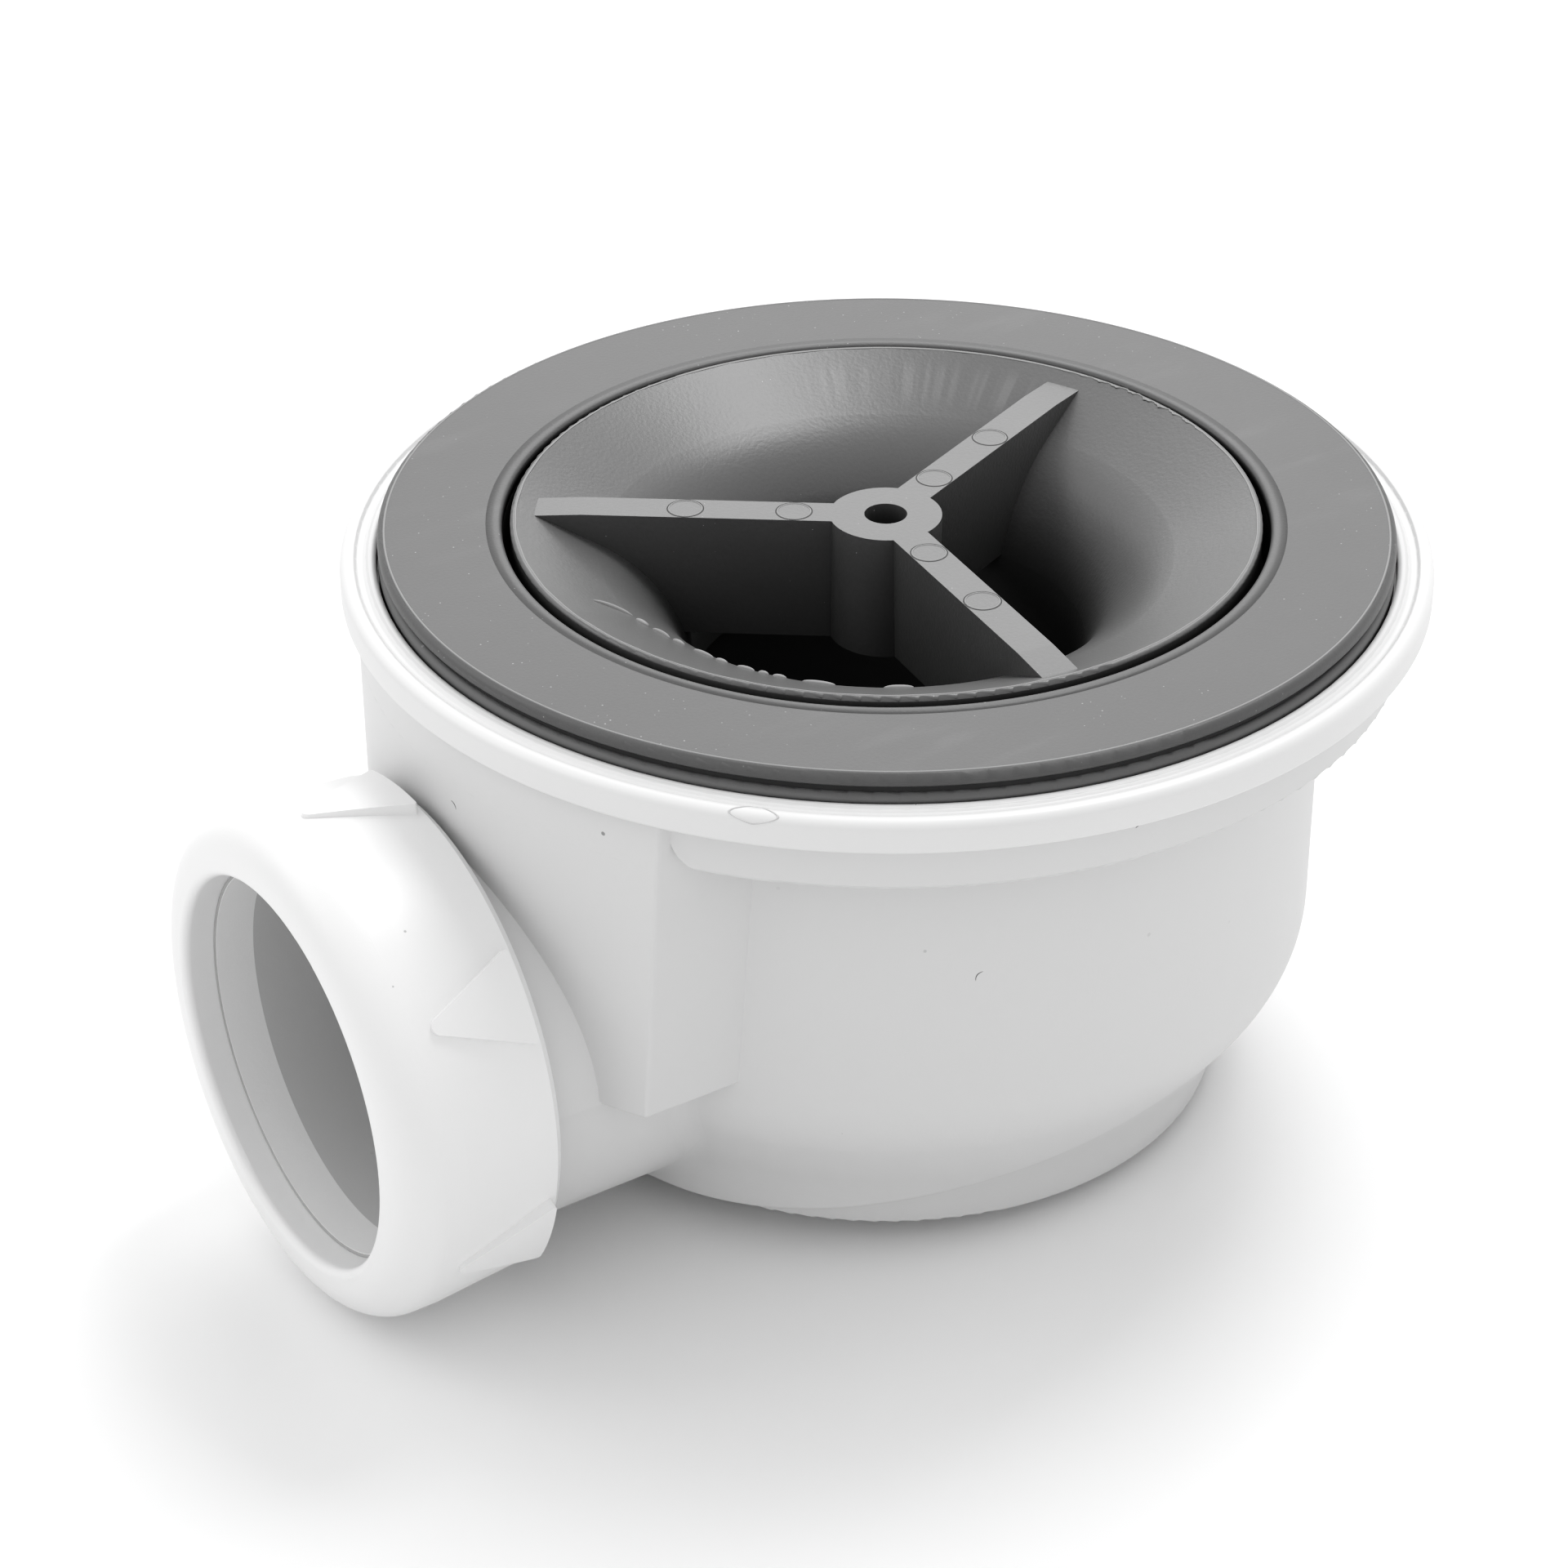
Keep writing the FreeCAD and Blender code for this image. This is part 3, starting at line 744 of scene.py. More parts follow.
def face_outwards(mesh: bmesh.types.BMesh) -> None:
    """Turns the faces of closed work outwards.

    Args:
        mesh: the mesh, whose faces are turned where they are.
    """
    bmesh.ops.recalc_face_normals(mesh, faces=mesh.faces)
    if mesh.calc_volume(signed=True) < 0.0:
        bmesh.ops.reverse_faces(mesh, faces=mesh.faces)


def laid_along(mesh: bmesh.types.BMesh, axis: AlongAxis, height: float) -> None:
    """Turns a mesh made about the vertical axis so that it lies about the outlet's axis.

    Args:
        mesh: the mesh, turned where it is.
        axis: the axis that the piece belongs to.
        height: height of the outlet's axis.
    """
    if axis is AlongAxis.OUTLET:
        turn = Matrix.Translation((0.0, 0.0, height)) @ Matrix.Rotation(math.radians(90.0), 4, "Y")
        bmesh.ops.transform(mesh, matrix=turn, verts=mesh.verts)


class Skin:
    """The surface of a piece, which small marks are laid on.

    Attributes:
        drop: height over a mark that its rays start from, in mm.
        reach: how far a ray goes, in mm.
    """

    drop: float = 2.0
    reach: float = 6.0

    def __init__(self, node: bpy.types.Object) -> None:
        """Reads the piece's mesh.

        Args:
            node: the piece's object.
        """
        data = node.data
        corners = [v.co for v in data.vertices]
        self.tree = BVHTree.FromPolygons(corners, [tuple(p.vertices) for p in data.polygons])

    def lay(self, verts: list[bmesh.types.BMVert], spot: "Spot") -> None:
        """Lays flat work on the surface: what is drawn about the origin, with z as height, follows it.

        Args:
            verts: the corners of the work, which are moved.
            spot: where it goes.
        """
        out = Vector(spot.facing).normalized()
        along = Vector(spot.along)
        along = (along - out * along.dot(out)).normalized()
        turn = Matrix((along, out.cross(along), out)).transposed()
        for corner in verts:
            height = corner.co.z
            flat = turn @ Vector((corner.co.x, corner.co.y, 0.0))
            start = Vector(spot.place) * MM + flat + out * self.drop * MM
            found, normal, _, _ = self.tree.ray_cast(start, -out, self.reach * MM)
            if found is None:
                found, normal, _, _ = self.tree.find_nearest(start)
            corner.co = found + normal * height


SLOPE_LEAN = 26.0
INSERT_TOP = 65.25
PARTING_RADIUS = 38.6


@dataclass(frozen=True)
class Spot:
    """Where a small mark lies.

    Attributes:
        place: a point on the surface, in mm.
        facing: the direction that the surface faces there.
        along: the direction that the mark's length takes.
        length: its length, in mm.
        width: its width, in mm.
        bend: how far its middle stands off the line between its ends, in mm.
    """

    place: tuple[float, float, float]
    facing: tuple[float, float, float]
    along: tuple[float, float, float]
    length: float
    width: float
    bend: float = 0.0

    @classmethod
    def on_slope(cls, bearing: float, radius: float, lean: float, length: float, width: float,
                 bend: float = 0.0) -> "Spot":
        """Gives a spot on the straight part of the funnel's slope.

        Args:
            bearing: its bearing from the outlet, in degrees.
            radius: its distance from the main axis, in mm.
            lean: how far it leans outwards from the direction round the funnel, in degrees.
            length: its length in mm.
            width: its width in mm.
            bend: its bend in mm.

        Returns:
            The spot.
        """
        angle = math.radians(bearing)
        slope = math.radians(SLOPE_LEAN)
        height = INSERT_TOP - (PARTING_RADIUS - radius) * math.tan(slope)
        outward = Vector((math.cos(angle), math.sin(angle), 0.0))
        around = Vector((-math.sin(angle), math.cos(angle), 0.0))
        along = around * math.cos(math.radians(lean)) + outward * math.sin(math.radians(lean))
        facing = Vector((0.0, 0.0, math.cos(slope))) - outward * math.sin(slope)
        place = outward * radius + Vector((0.0, 0.0, height))
        return cls(tuple(place), tuple(facing), tuple(along), length, width, bend)

    def sliver(self, skin: Skin, mesh: bmesh.types.BMesh, rise: float) -> None:
        """Adds a thin rounded sliver, pointed at both ends.

        Args:
            skin: the surface that carries it.
            mesh: the mesh that it is added to.
            rise: its height in mm.
        """
        turn = Matrix.Rotation(math.radians(90.0), 4, "Y")
        made = bmesh.ops.create_uvsphere(mesh, u_segments=8, v_segments=16, radius=0.5,
                                         matrix=turn)["verts"]
        for corner in made:
            along, across, up = corner.co
            corner.co = Vector((
                along * self.length * MM,
                (across * self.width + self.bend * (1.0 - 4.0 * along * along)) * MM,
                up * 2.0 * rise * MM,
            ))
        skin.lay(made, self)


def slivers(skin: Skin, spots: tuple[Spot, ...], rise: float) -> bmesh.types.BMesh:
    """Builds a sliver at each spot.

    Args:
        skin: the surface that carries them.
        spots: where they lie.
        rise: their height in mm.

    Returns:
        The slivers' mesh.
    """
    made = bmesh.new()
    for spot in spots:
        spot.sliver(skin, made, rise)
    return made


@dataclass
class ScrewThread:
    """A helical ridge on a round wall, right-handed.

    Attributes:
        name: the piece's name.
        wall: radius of the wall that carries it, in mm.
        crest: radius of its crest, in mm. It is smaller than the wall's on an inner thread.
        start: place of its start along the axis, in mm.
        turns: number of turns.
        phase: bearing of its start, in degrees.
        axis: the axis that it goes round.
        height: height of that axis where it is the outlet's, in mm.
        pitch: rise in one turn, in mm.
        root_width: width at the wall, in mm.
        crest_width: width at the crest, in mm.
        steps: number of straight steps in one turn.
        sunk: how deep its root lies in the wall, in mm.
        end_sunk: how deep its ends lie in the wall, in mm.
    """

    name: str
    wall: float
    crest: float
    start: float
    turns: float
    phase: float = 0.0
    axis: AlongAxis = AlongAxis.UP
    height: float = 22.3
    pitch: float = 3.0
    root_width: float = 1.9
    crest_width: float = 0.9
    steps: int = 72
    sunk: float = 0.15
    end_sunk: float = 0.1

    def into_wall(self, depth: float) -> float:
        """Gives the radius at a depth in the wall, in mm."""
        return self.wall + (depth if self.wall > self.crest else -depth)

    def mesh(self) -> bmesh.types.BMesh:
        """Builds the ridge by spinning its section along a helix.

        Returns:
            The ridge's mesh, closed at both ends.
        """
        root = self.into_wall(self.sunk)
        corners = (
            (root, -self.root_width / 2),
            (self.crest, -self.crest_width / 2),
            (self.crest, self.crest_width / 2),
            (root, self.root_width / 2),
        )
        made = bmesh.new()
        points = [made.verts.new((r * MM, 0.0, (self.start + z) * MM)) for r, z in corners]
        face = made.faces.new(points)
        count = round(self.turns * self.steps)
        spun = bmesh.ops.spin(
            made, geom=[face], cent=(0.0, 0.0, 0.0), axis=(0.0, 0.0, 1.0),
            dvec=(0.0, 0.0, self.pitch * MM / self.steps),
            angle=2.0 * math.pi * self.turns, steps=count, use_duplicate=False,
        )
        last = [v for v in spun["geom_last"] if isinstance(v, bmesh.types.BMVert)]
        self.run_out(made, points)
        self.run_out(made, last)
        bmesh.ops.rotate(made, cent=(0, 0, 0), matrix=Matrix.Rotation(math.radians(self.phase), 3, "Z"),
                         verts=made.verts)
        face_outwards(made)
        laid_along(made, self.axis, self.height * MM)
        return made

    def run_out(self, mesh: bmesh.types.BMesh, ring: list[bmesh.types.BMVert]) -> None:
        """Sinks an end of the ridge into its wall, so that it doesn't stop in a step.

        Args:
            mesh: the ridge's mesh.
            ring: the corners of the end.
        """
        end = self.into_wall(self.end_sunk)
        for corner in ring:
            if corner.is_valid:
                flat = Vector((corner.co.x, corner.co.y, 0.0))
                corner.co += flat.normalized() * (end * MM - flat.length)


@dataclass
class TurnedSkin:
    """A thin turned skin over a round edge of a solid, which gives the edge its full smoothness.

    Attributes:
        corners: the corners of its section, as distance from the main axis, height and rounding, in mm.
        lift: how far it stands over the solid, in mm.
        steps: number of steps round it.
        segments: number of steps in each rounding.
    """

    corners: tuple[tuple[float, float, float], ...]
    lift: float = 0.03
    steps: int = 360
    segments: int = 5

    def mesh(self) -> bmesh.types.BMesh:
        """Builds the skin by rounding its section and spinning it.

        Returns:
            The skin's mesh, closed on itself.
        """
        made = bmesh.new()
        middle = sum(z for _, z, _ in self.corners) / len(self.corners)
        points = []
        for r, z, _ in self.corners:
            side = self.lift if z > middle else -self.lift
            points.append(made.verts.new(((r + self.lift) * MM, 0.0, (z + side) * MM)))
        made.faces.new(points)
        for point, (_, _, rounding) in zip(points, self.corners):
            if rounding:
                bmesh.ops.bevel(made, geom=[point], offset=rounding * MM, offset_type="OFFSET",
                                segments=self.segments, profile=0.5, affect="VERTICES", material=-1)
        made.faces.ensure_lookup_table()
        face = made.faces[0]
        bmesh.ops.spin(made, geom=list(made.edges), cent=(0.0, 0.0, 0.0), axis=(0.0, 0.0, 1.0),
                       dvec=(0.0, 0.0, 0.0), angle=2.0 * math.pi, steps=self.steps, use_merge=True,
                       use_duplicate=False)
        bmesh.ops.delete(made, geom=[face], context="FACES_ONLY")
        face_outwards(made)
        return made


@dataclass
class TrapBody:
    """The white body with its seal on the rim and the seal in the outlet.

    Attributes:
        spigot_thread: the thread on the outside of the spigot.
        mouth_thread: the thread in the mouth of the bowl.
        rim: the skin over the rim's two beads.
        gate_mark: the lens-shaped mark on the rim's outer bead.
        gate_taper: how much narrower the mark is at its ends, as a share.
        gate_depth: thickness of the mark's pad, in mm.
        gate_sunk: how deep the pad's top lies under the bead, in mm.
        fibre_rise: height of a fibre, in mm.
        fibres: the fibres stuck to the body, the shaft's one first.
        step_height: height of the sloping step at the main axis, in mm.
        step_slope: fall of the step along the outlet.
        step_bearings: first and last bearing of the line under the step, in degrees.
        step_rows: number of sections along that line.
        step_section: the line's section, as height along the wall and rise over it, in mm.
        step_radius: radius that the section is spun at before the line is laid, in mm.
        step_tries: number of rays that close in on the step at one bearing.
    """

    spigot_thread: ScrewThread = field(default_factory=lambda: ScrewThread(
        "spigot_thread", wall=23.7, crest=24.5, start=59.2, turns=2.9, axis=AlongAxis.OUTLET))
    mouth_thread: ScrewThread = field(default_factory=lambda: ScrewThread(
        "mouth_thread", wall=44.0, crest=43.2, start=50.9, turns=2.6, phase=180.0))
    rim: TurnedSkin = field(default_factory=lambda: TurnedSkin((
        (53.25, 61.2, 0.0), (53.25, 62.2, 0.42), (54.2, 62.2, 0.42), (54.6, 61.8, 0.2),
        (55.15, 61.8, 0.2),
        (55.55, 62.2, 0.2), (57.0, 62.2, 1.08), (57.0, 58.8, 0.4), (55.2, 58.8, 0.0),
        (55.2, 61.2, 0.0),
    )))
    gate_mark: Spot = Spot(place=(41.2, 38.2, 61.7), facing=(0.53, 0.49, 0.69), along=(-0.68, 0.73, 0.0),
                           length=4.7, width=0.9)
    gate_taper: float = 0.35
    gate_depth: float = 0.2
    gate_sunk: float = 0.02
    fibre_rise: float = 0.04
    fibres: tuple[Spot, ...] = (
        Spot((55.3, 5.0, 50.5), (1.0, 0.1, 0.0), (0.0, 0.8, -0.6), 1.1, 0.09, 0.25),
        Spot((18.0, 42.8, 37.3), (0.39, 0.92, 0.0), (-0.5, 0.2, 0.8), 1.3, 0.09, 0.3),
        Spot((7.8, 53.8, 57.0), (0.15, 0.99, 0.0), (-0.9, 0.1, 0.3), 0.8, 0.1, 0.1),
        Spot((28.1, 45.6, 62.2), (0.0, 0.0, 1.0), (0.5, 0.5, 0.0), 0.7, 0.08, 0.1),
    )
    step_height: float = 10.6
    step_slope: float = 0.32
    step_bearings: tuple[float, float] = (62.0, 298.0)
    step_rows: int = 240
    step_section: tuple[tuple[float, float], ...] = (
        (-0.13, -0.04), (-0.06, 0.03), (0.06, 0.03), (0.13, -0.04),
    )
    step_radius: float = 100.0
    step_tries: int = 10

    def build(self, shop: Shop) -> None:
        """Dresses the body's nodes and adds its relief.

        Args:
            shop: what the pieces are built with.
        """
        shop.wardrobe.dress(shop.nodes["trap_body"], WHITE_BODY)
        shop.wardrobe.dress(shop.nodes["outlet_shaft"], WHITE_BODY)
        shop.wardrobe.dress(shop.nodes["tray_seal"], SEAL_RUBBER)
        shop.wardrobe.dress(shop.nodes["outlet_seal"], PALE_RUBBER)
        for thread in (self.spigot_thread, self.mouth_thread):
            shop.piece(thread.name, thread.mesh(), WHITE_BODY, Body.TRAP, smooth=False)
        bowl = Skin(shop.nodes["trap_body"])
        shaft = Skin(shop.nodes["outlet_shaft"])
        # Painted light: the rim's beads and the gate mark take the lighter copy of the body's white.
        rim = Skin(shop.piece("rim_beads", self.rim.mesh(), WHITE_RIM_PAINTED_LIGHT, Body.TRAP))
        shop.piece("gate_mark", self.gate_outline(rim), WHITE_RIM_PAINTED_LIGHT, Body.TRAP)
        # Painted shade: a grey ring stands for the shade in the groove round the gate mark.
        shop.piece("painted_gate_shade_ring", self.painted_shade_round_gate(rim), GATE_PAINTED_SHADE, Body.TRAP)
        # Painted shade: a thin darker line lies in the corner under the sloping step.
        shop.piece("painted_step_shadow_line", self.painted_step_shadow_line(bowl), STEP_PAINTED_SHADE, Body.TRAP)
        for name, skin, spots in (("fibre_on_shaft", shaft, self.fibres[:1]),
                                  ("fibres_on_bowl", bowl, self.fibres[1:])):
            shop.piece(name, slivers(skin, spots, self.fibre_rise), FIBRE, Body.TRAP)

    def painted_step_shadow_line(self, skin: Skin) -> bmesh.types.BMesh:
        """Builds the painted shadow line in the corner under the sloping step, where the thicker shell
        ends.

        Args:
            skin: the surface of the bowl.

        Returns:
            The line's mesh.
        """
        made = bmesh.new()
        first, last = (math.radians(bearing) for bearing in self.step_bearings)
        turn = Matrix.Rotation(first, 3, "Z")
        points = [made.verts.new(turn @ Vector(((self.step_radius + rise) * MM, 0.0, side * MM)))
                  for side, rise in self.step_section]
        bmesh.ops.spin(made, geom=[made.faces.new(points)], cent=(0.0, 0.0, 0.0), axis=(0.0, 0.0, 1.0),
                       dvec=(0.0, 0.0, 0.0), angle=last - first, steps=self.step_rows - 1,
                       use_duplicate=False)
        for corner in made.verts:
            out = Vector((corner.co.x, corner.co.y, 0.0))
            side, rise = corner.co.z, out.length - self.step_radius * MM
            found, normal = self.under_step(skin, out.normalized())
            up = (AXIS_UP - normal * normal.z).normalized()
            corner.co = found + up * side + normal * rise
        face_outwards(made)
        return made

    def under_step(self, skin: Skin, out: Vector) -> tuple[Vector, Vector]:
        """Finds the foot of the sloping step on one side of the bowl.

        Args:
            skin: the surface of the bowl.
            out: the direction of that side, level.

        Returns:
            The point on the surface and the direction that the surface faces there.
        """
        height = self.step_height * MM
        found, normal = Vector(), Vector()
        for _ in range(self.step_tries):
            start = out * self.step_radius * MM + AXIS_UP * height
            found, normal, _, _ = skin.tree.ray_cast(start, -out)
            height = self.step_height * MM - self.step_slope * found.x
        return found, normal

    def painted_shade_round_gate(self, skin: Skin) -> bmesh.types.BMesh:
        """Builds the painted shade of the fine groove round the gate mark.

        Args:
            skin: the surface of the rim.

        Returns:
            The line's mesh.
        """
        made = bmesh.new()
        low_ring(made, Vector(), radius=1.0, half_width=0.06, rise=0.05, steps=64)
        self.lay_lens(skin, made, lift=0.03)
        return made

    def gate_outline(self, skin: Skin) -> bmesh.types.BMesh:
        """Builds the lens-shaped mark on the rim's outer edge: a thin pad sunk into the bead.

        Args:
            skin: the surface of the rim.

        Returns:
            The mark's mesh.
        """
        made = bmesh.new()
        bmesh.ops.create_circle(made, cap_ends=True, segments=48, radius=1.0)
        grown = bmesh.ops.extrude_face_region(made, geom=list(made.faces))["geom"]
        low = [corner for corner in grown if isinstance(corner, bmesh.types.BMVert)]
        bmesh.ops.translate(made, vec=(0.0, 0.0, -self.gate_depth), verts=low)
        self.lay_lens(skin, made, lift=-self.gate_sunk)
        face_outwards(made)
        return made

    def lay_lens(self, skin: Skin, mesh: bmesh.types.BMesh, lift: float) -> None:
        """Draws round work out to the gate mark's lens and lays it on the rim.

        Args:
            skin: the surface of the rim.
            mesh: the work, drawn about the origin with radius 1 and its height in mm.
            lift: how far it is lifted off the rim, in mm.
        """
        for corner in mesh.verts:
            width = self.gate_mark.width * (1.0 - self.gate_taper * min(1.0, abs(corner.co.x)))
            corner.co = Vector((corner.co.x * self.gate_mark.length / 2 * MM, corner.co.y * width * MM,
                                (corner.co.z + lift) * MM))
        skin.lay(list(mesh.verts), self.gate_mark)


@dataclass
class ClampCollar:
    """The grey flange that screws into the bowl, with the gasket under it.

    Attributes:
        skirt_thread: the thread on the outside of its skirt.
        edge_radius: radius of the line where the flange's top starts to round off, in mm.
        edge_height: height of the flange's top, in mm.
        bore_edge: the skin over the rounded edge of the bore.
    """

    skirt_thread: ScrewThread = field(default_factory=lambda: ScrewThread(
        "collar_thread", wall=42.9, crest=43.7, start=50.9, turns=2.6))
    edge_radius: float = 52.25
    edge_height: float = 65.0
    bore_edge: TurnedSkin = field(default_factory=lambda: TurnedSkin((
        (40.0, 63.4, 0.0), (40.0, 65.0, 0.6), (41.7, 65.0, 0.0), (41.7, 64.7, 0.0),
    ), lift=0.01))

    def build(self, shop: Shop) -> None:
        """Dresses the collar and the gasket and adds the thread.

        Args:
            shop: what the pieces are built with.
        """
        shop.wardrobe.dress(shop.nodes["clamp_collar"], GREY_COLLAR)
        shop.wardrobe.dress(shop.nodes["upper_gasket"], GASKET_RUBBER)
        thread = self.skirt_thread
        shop.piece(thread.name, thread.mesh(), GREY_COLLAR, Body.COLLAR, smooth=False)
        shop.piece("collar_bore_edge", self.bore_edge.mesh(), GREY_COLLAR, Body.COLLAR)
        # Painted highlight: a lighter ring on the flange's rounded top edge, where the top light would
        # glint.
        edge = bmesh.new()
        centre = Vector((0.0, 0.0, self.edge_height * MM))
        low_ring(edge, centre, self.edge_radius * MM, half_width=0.14 * MM, rise=0.05 * MM, steps=360)
        shop.piece("flange_edge_painted_highlight", edge, EDGE_PAINTED_HIGHLIGHT, Body.COLLAR)


@dataclass
class FunnelInsert:
    """The grey funnel with its webs, and the fine relief of its mould.

    Attributes:
        web_bearings: bearings of the three webs, in degrees.
        web_top: height of the webs' top, in mm.
        ejector_radii: distances of the ejector marks from the main axis, in mm.
        ejector_radius: radius of a mark, in mm.
        groove_gap: distance of the groove round a mark from the mark's ridge, in mm.
        rim_height: height of the insert's top, in mm.
        parting_radius: radius of the parting line, in mm.
        ragged_bearings: first and last bearing of its ragged run, in degrees.
        ragged_waves: the waves of that run, each as rate, phase and share.
        ragged_reach: how far the waves push the line in and out, in mm.
        ragged_rise: how much higher the line stands on that run, in mm.
        ragged_swell: how far the waves change that height, in mm.
        wander_reach: how far the whole line wanders in and out, in mm.
        wander_rate: how fast it wanders with the bearing.
        flash: the slivers of flash on the near slope.
    """

    web_bearings: tuple[float, ...] = (83.0, 203.0, 323.0)
    web_top: float = 64.6
    ejector_radii: tuple[float, ...] = (9.6, 21.0)
    ejector_radius: float = 1.75
    groove_gap: float = 0.16
    rim_height: float = INSERT_TOP
    parting_radius: float = PARTING_RADIUS
    ragged_bearings: tuple[float, float] = (170.0, 206.0)
    ragged_waves: tuple[tuple[float, float, float], ...] = (
        (1.9, 0.0, 1.0), (5.3, 1.0, 0.6), (13.0, 0.0, 0.3),
    )
    ragged_reach: float = 0.14
    ragged_rise: float = 0.06
    ragged_swell: float = 0.04
    wander_reach: float = 0.03
    wander_rate: float = 0.7
    flash: tuple[Spot, ...] = (
        Spot.on_slope(-4.5, 32.0, -62.0, 4.4, 0.45, 0.4),
        Spot.on_slope(0.5, 30.1, -20.0, 1.7, 0.8),
        Spot.on_slope(5.5, 29.6, -12.0, 2.4, 0.35, 0.15),
        Spot.on_slope(10.0, 29.2, -8.0, 1.6, 0.6),
        Spot.on_slope(16.5, 29.0, -2.0, 2.6, 0.4, -0.1),
        Spot.on_slope(21.5, 29.3, 2.0, 1.5, 0.7),
        Spot.on_slope(27.0, 29.2, -3.0, 2.0, 0.5, 0.1),
        Spot.on_slope(31.0, 29.3, 3.0, 1.2, 0.6),
        Spot.on_slope(34.5, 29.4, -4.0, 1.5, 0.6),
        Spot.on_slope(42.5, 29.4, 0.0, 3.4, 0.7, 0.1),
        Spot.on_slope(58.0, 29.5, 2.0, 3.0, 0.6, 0.1),
    )

    def build(self, shop: Shop) -> None:
        """Dresses the insert and its ring and adds the relief.

        Args:
            shop: what the pieces are built with.
        """
        shop.wardrobe.dress(shop.nodes["funnel_insert"], GREY_INSERT)
        shop.wardrobe.dress(shop.nodes["dip_tube"], GREY_INSERT)
        shop.wardrobe.dress(shop.nodes["insert_o_ring"], GASKET_RUBBER)
        funnel = Skin(shop.nodes["funnel_insert"])
        ridge, groove = self.ejector_radius, self.ejector_radius + self.groove_gap
        ridges = self.ejector_marks(ridge, half_width=0.1, rise=0.06)
        shop.piece("ejector_marks", ridges, GREY_FLASH, Body.INSERT)
        # Painted shade: a dark ring stands for the shade in the groove round each ejector mark.
        groove_shades = self.ejector_marks(groove, half_width=0.08, rise=0.03)
        shop.piece("ejector_groove_painted_shades", groove_shades, MARK_PAINTED_SHADE, Body.INSERT)
        shop.piece("parting_line", self.parting_line(), GREY_FLASH, Body.INSERT)
        flash = slivers(funnel, self.flash, rise=0.3)
        shop.piece("lip_flash", flash, GREY_FLASH, Body.INSERT)

    def ejector_marks(self, radius: float, half_width: float, rise: float) -> bmesh.types.BMesh:
        """Builds a low rounded ring for each ejector mark.

        Args:
            radius: the ring's radius in mm.
            half_width: half its width in mm.
            rise: its height in mm.

        Returns:
            The six rings.
        """
        made = bmesh.new()
        for bearing in self.web_bearings:
            for reach in self.ejector_radii:
                turn = Matrix.Rotation(math.radians(bearing), 4, "Z")
                centre = turn @ Vector((reach * MM, 0.0, self.web_top * MM))
                low_ring(made, centre, radius * MM, half_width * MM, rise * MM, steps=48)
        return made

    def parting_line(self) -> bmesh.types.BMesh:
        """Builds the thin line where the mould's halves met, round the flat of the rim.

        Returns:
            The line's mesh.
        """
        made = bmesh.new()
        low_ring(made, Vector((0.0, 0.0, self.rim_height * MM)), self.parting_radius * MM,
                 half_width=0.1 * MM, rise=0.04 * MM, steps=720)
        first, last = self.ragged_bearings
        for corner in made.verts:
            bearing = math.degrees(math.atan2(corner.co.y, corner.co.x)) % 360.0
            share = min(1.0, max(0.0, (bearing - first) / (last - first)))
            ragged = math.sin(math.pi * share) if 0.0 < share < 1.0 else 0.0
            wave = sum(weight * math.sin(bearing * rate + phase)
                       for rate, phase, weight in self.ragged_waves)
            out = Vector((corner.co.x, corner.co.y, 0.0)).normalized()
            over = corner.co.z - self.rim_height * MM
            stray = self.ragged_reach * ragged * wave
            corner.co += out * (stray + self.wander_reach * math.sin(bearing * self.wander_rate)) * MM
            if over > 0.0:
                corner.co.z += (self.ragged_rise + self.ragged_swell * wave) * ragged * MM
        return made


SHOULDER_WIDTH = 0.55
SHOULDER_RISE = 0.75


def low_ring(mesh: bmesh.types.BMesh, centre: Vector, radius: float, half_width: float, rise: float,
             steps: int) -> None:
    """Adds a low rounded ridge round a circle on a level face.

    Args:
        mesh: the mesh that it is added to.
        centre: the circle's centre, at the face's height.
        radius: the circle's radius.
        half_width: half the ridge's width.
        rise: height of its crest over the face.
        steps: number of straight steps round it.
    """
    shoulder, shoulder_rise = half_width * SHOULDER_WIDTH, rise * SHOULDER_RISE
    section = ((-half_width, -rise), (-shoulder, shoulder_rise), (0.0, rise), (shoulder, shoulder_rise),
               (half_width, -rise))
    points = [mesh.verts.new(centre + Vector((radius + x, 0.0, z))) for x, z in section]
    edges = [mesh.edges.new(pair) for pair in zip(points, points[1:] + points[:1])]
    bmesh.ops.spin(mesh, geom=edges, cent=centre, axis=(0.0, 0.0, 1.0), dvec=(0.0, 0.0, 0.0),
                   angle=2.0 * math.pi, steps=steps, use_merge=True, use_duplicate=False)
    face_outwards(mesh)


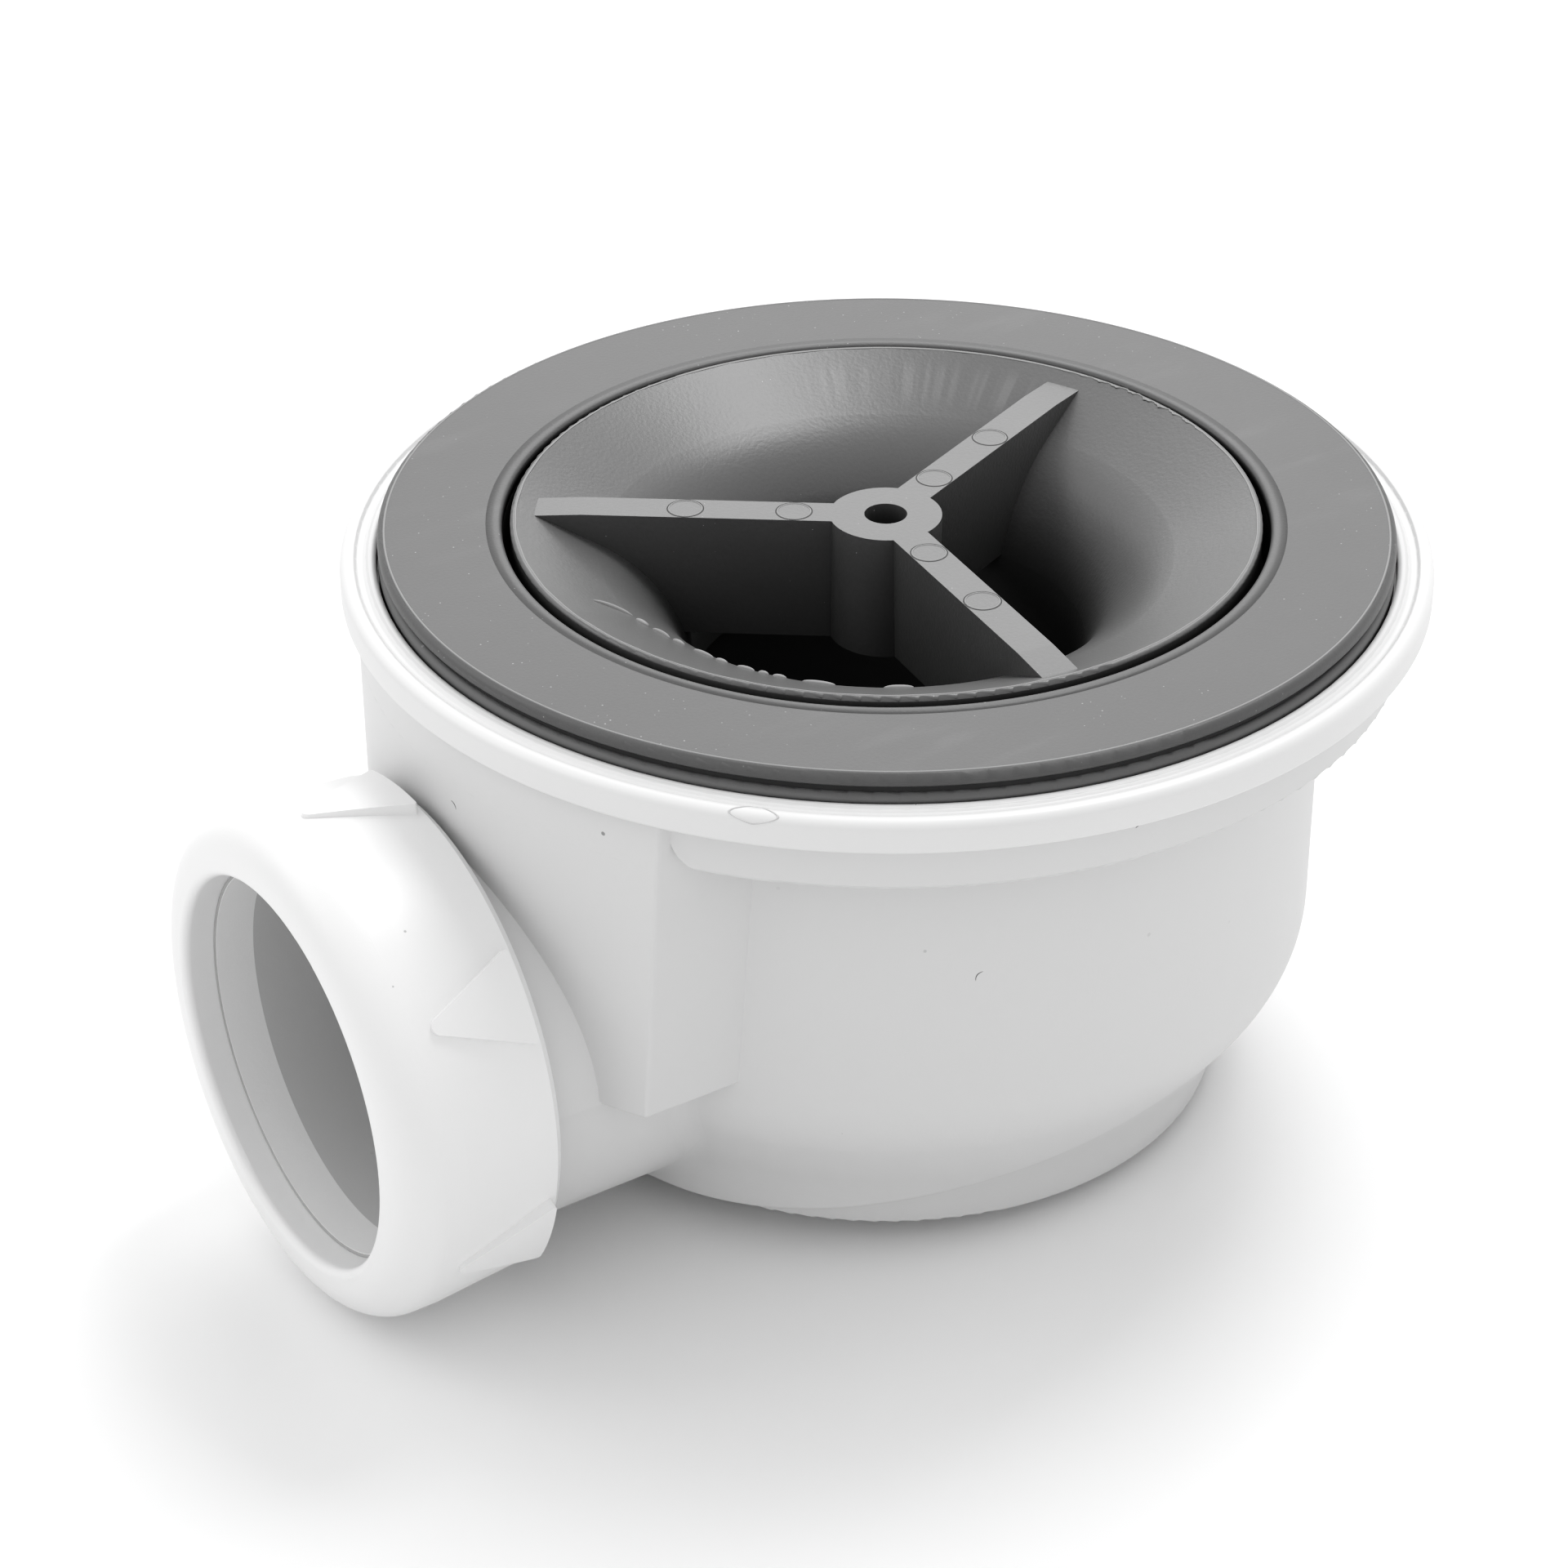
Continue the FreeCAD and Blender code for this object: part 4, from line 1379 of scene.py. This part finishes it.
@dataclass
class OutletNut:
    """The white nut with its washer.

    Attributes:
        bore_thread: the thread in the nut's bore.
        washer_front: place of the washer's front face along the outlet, in mm.
        groove_radius: radius of the painted shade ring in the groove between the washer and the nut's
            lip, in mm.
    """

    bore_thread: ScrewThread = field(default_factory=lambda: ScrewThread(
        "nut_thread", wall=24.95, crest=24.15, start=58.2, turns=3.2, phase=60.0, axis=AlongAxis.OUTLET))
    washer_front: float = 70.9
    groove_radius: float = 20.76

    def build(self, shop: Shop) -> None:
        """Dresses the nut and the washer and adds the thread.

        Args:
            shop: what the pieces are built with.
        """
        shop.wardrobe.dress(shop.nodes["outlet_nut"], WHITE_NUT)
        shop.wardrobe.dress(shop.nodes["slip_washer"], WASHER)
        thread = self.bore_thread
        shop.piece(thread.name, thread.mesh(), WHITE_NUT, Body.NUT, smooth=False)
        # Painted shade: a dark ring covers the washer's front face, where the groove next to the nut's
        # lip lies in shade.
        groove = bmesh.new()
        centre = Vector((0.0, 0.0, self.washer_front * MM))
        low_ring(groove, centre, self.groove_radius * MM, half_width=0.23 * MM, rise=0.16 * MM,
                 steps=180)
        laid_along(groove, AlongAxis.OUTLET, thread.height * MM)
        shop.piece("washer_groove_painted_shade", groove, LIP_PAINTED_SHADE, Body.WASHER)


@dataclass(frozen=True)
class Softbox:
    """A square soft light that faces the object.

    Attributes:
        name: the light's name.
        place: where it stands, in metres.
        size: its side, in metres.
        watts: its power.
    """

    name: str
    place: tuple[float, float, float]
    size: float
    watts: float

    def hang(self, target: Vector) -> None:
        """Adds the light to the scene.

        Args:
            target: the point that it faces, in metres.
        """
        lamp = bpy.data.lights.new(self.name, "AREA")
        lamp.shape = "SQUARE"
        lamp.size = self.size
        lamp.energy = self.watts
        made = bpy.data.objects.new(self.name, lamp)
        made.location = self.place
        made.rotation_euler = (target - Vector(self.place)).to_track_quat("-Z", "Y").to_euler()
        bpy.context.scene.collection.objects.link(made)


SKY_STRENGTH = 0.82
SOFTBOXES = (
    Softbox("top_light", (-0.32, -0.10, 0.84), size=0.3, watts=2.5),
    Softbox("far_light", (-0.5, -0.75, 0.75), size=0.8, watts=3.9),
    Softbox("rear_light", (-0.62, -0.85, 0.3), size=0.6, watts=0.3),
    Softbox("side_light", (0.6, -0.45, 0.6), size=0.5, watts=1.15),
)
TONE_POINTS = ((0.045, 0.013), (0.12, 0.095), (0.3, 0.29), (0.75, 0.755))


@dataclass
class Studio:
    """The floor, the light and the camera.

    Attributes:
        foot_radius: radius of the body's flat foot, in metres.
        nut_rest: distance from the main axis to the nut's lowest pad, in metres.
        floor_size: side of the floor, in metres.
        floor_seen: linear grey of the floor as the camera sees it.
        floor_bounced: linear grey of the floor for the light that it throws back.
        camera_place: the camera's place, in mm.
        target: the point that it looks at, in mm.
        lens: its focal length on a sensor 36 mm wide.
        roll: how far it is turned about its own axis, in degrees.
    """

    foot_radius: float = 0.037
    nut_rest: float = 0.0577
    floor_size: float = 4.0
    floor_seen: float = 0.95
    floor_bounced: float = 0.85
    camera_place: tuple[float, float, float] = (213.28, 306.22, 261.65)
    target: tuple[float, float, float] = (9.01, -5.90, 31.48)
    lens: float = 92.53
    roll: float = -0.295

    def build(self) -> None:
        """Sets up everything round the object."""
        self.make_floor()
        self.make_sky()
        for box in SOFTBOXES:
            box.hang(Vector(self.target) * MM)
        self.make_camera()
        view = bpy.context.scene.view_settings
        view.view_transform = "Standard"
        view.look = "None"
        view.exposure = 0.0
        view.gamma = 1.0
        view.use_curve_mapping = True
        curve = view.curve_mapping.curves[ALL_CHANNELS]
        for point in TONE_POINTS:
            curve.points.new(*point)
        view.curve_mapping.update()

    def make_floor(self) -> None:
        """Lays the floor under the foot's rear edge and the nut's lowest pad, where the trap rests."""
        low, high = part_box("outlet_nut")
        slope = math.atan2(-low.z, self.nut_rest + self.foot_radius)
        made = bmesh.new()
        bmesh.ops.create_grid(made, x_segments=1, y_segments=1, size=self.floor_size / 2)
        bmesh.ops.rotate(made, cent=(0, 0, 0), matrix=Matrix.Rotation(slope, 3, "Y"), verts=made.verts)
        drop = -self.foot_radius * math.tan(slope)
        bmesh.ops.translate(made, vec=(0.0, 0.0, drop), verts=made.verts)
        data = bpy.data.meshes.new("floor")
        made.to_mesh(data)
        made.free()
        floor = bpy.data.objects.new("floor", data)
        bpy.context.scene.collection.objects.link(floor)
        paint = bpy.data.materials.new("floor_paint")
        paint.use_nodes = True
        sheet = Sheet(paint.node_tree)
        seen = sheet.add("BsdfDiffuse")
        seen.inputs["Color"].default_value = grey_colour(self.floor_seen)
        bounced = sheet.add("BsdfDiffuse")
        bounced.inputs["Color"].default_value = grey_colour(self.floor_bounced)
        either = sheet.add("MixShader")
        sheet.join(sheet.add("LightPath").outputs["Is Camera Ray"], either.inputs[0])
        sheet.join(bounced.outputs["BSDF"], either.inputs[1])
        sheet.join(seen.outputs["BSDF"], either.inputs[2])
        sheet.join(either.outputs["Shader"], sheet.add("OutputMaterial").inputs["Surface"])
        data.materials.append(paint)
        log.info("floor laid at a slope of %.2f degrees under the nut at %.1f mm", math.degrees(slope),
                 high.x / MM)

    @staticmethod
    def make_sky() -> None:
        """Lights the scene evenly from all round."""
        world = bpy.data.worlds.new("pale_sky")
        bpy.context.scene.world = world
        world.use_nodes = True
        sheet = Sheet(world.node_tree)
        glow = sheet.add("Background")
        glow.inputs["Color"].default_value = grey_colour(1.0)
        glow.inputs["Strength"].default_value = SKY_STRENGTH
        sheet.join(glow.outputs["Background"], sheet.add("OutputWorld").inputs["Surface"])

    def make_camera(self) -> None:
        """Adds the camera at the photograph's place and angle."""
        camera = bpy.data.cameras.new("camera")
        camera.lens = self.lens
        camera.sensor_width = SENSOR_WIDTH
        camera.sensor_fit = "HORIZONTAL"
        camera.clip_start = CLIP_START
        made = bpy.data.objects.new("camera", camera)
        aim = Vector(self.target) - Vector(self.camera_place)
        roll = Matrix.Rotation(math.radians(self.roll), 3, "Z")
        turn = aim.to_track_quat("-Z", "Y").to_matrix() @ roll
        made.matrix_world = Matrix.Translation(Vector(self.camera_place) * MM) @ turn.to_4x4()
        bpy.context.scene.collection.objects.link(made)
        bpy.context.scene.camera = made


def main() -> None:
    """Builds the looks in order."""
    logging.basicConfig(level=logging.INFO, format="%(name)s: %(message)s")
    shop = Shop(frame["nodes"], Wardrobe())
    for part in (TrapBody(), ClampCollar(), FunnelInsert(), OutletNut()):
        part.build(shop)
    Studio().build()


if __name__ == "__main__":
    main()
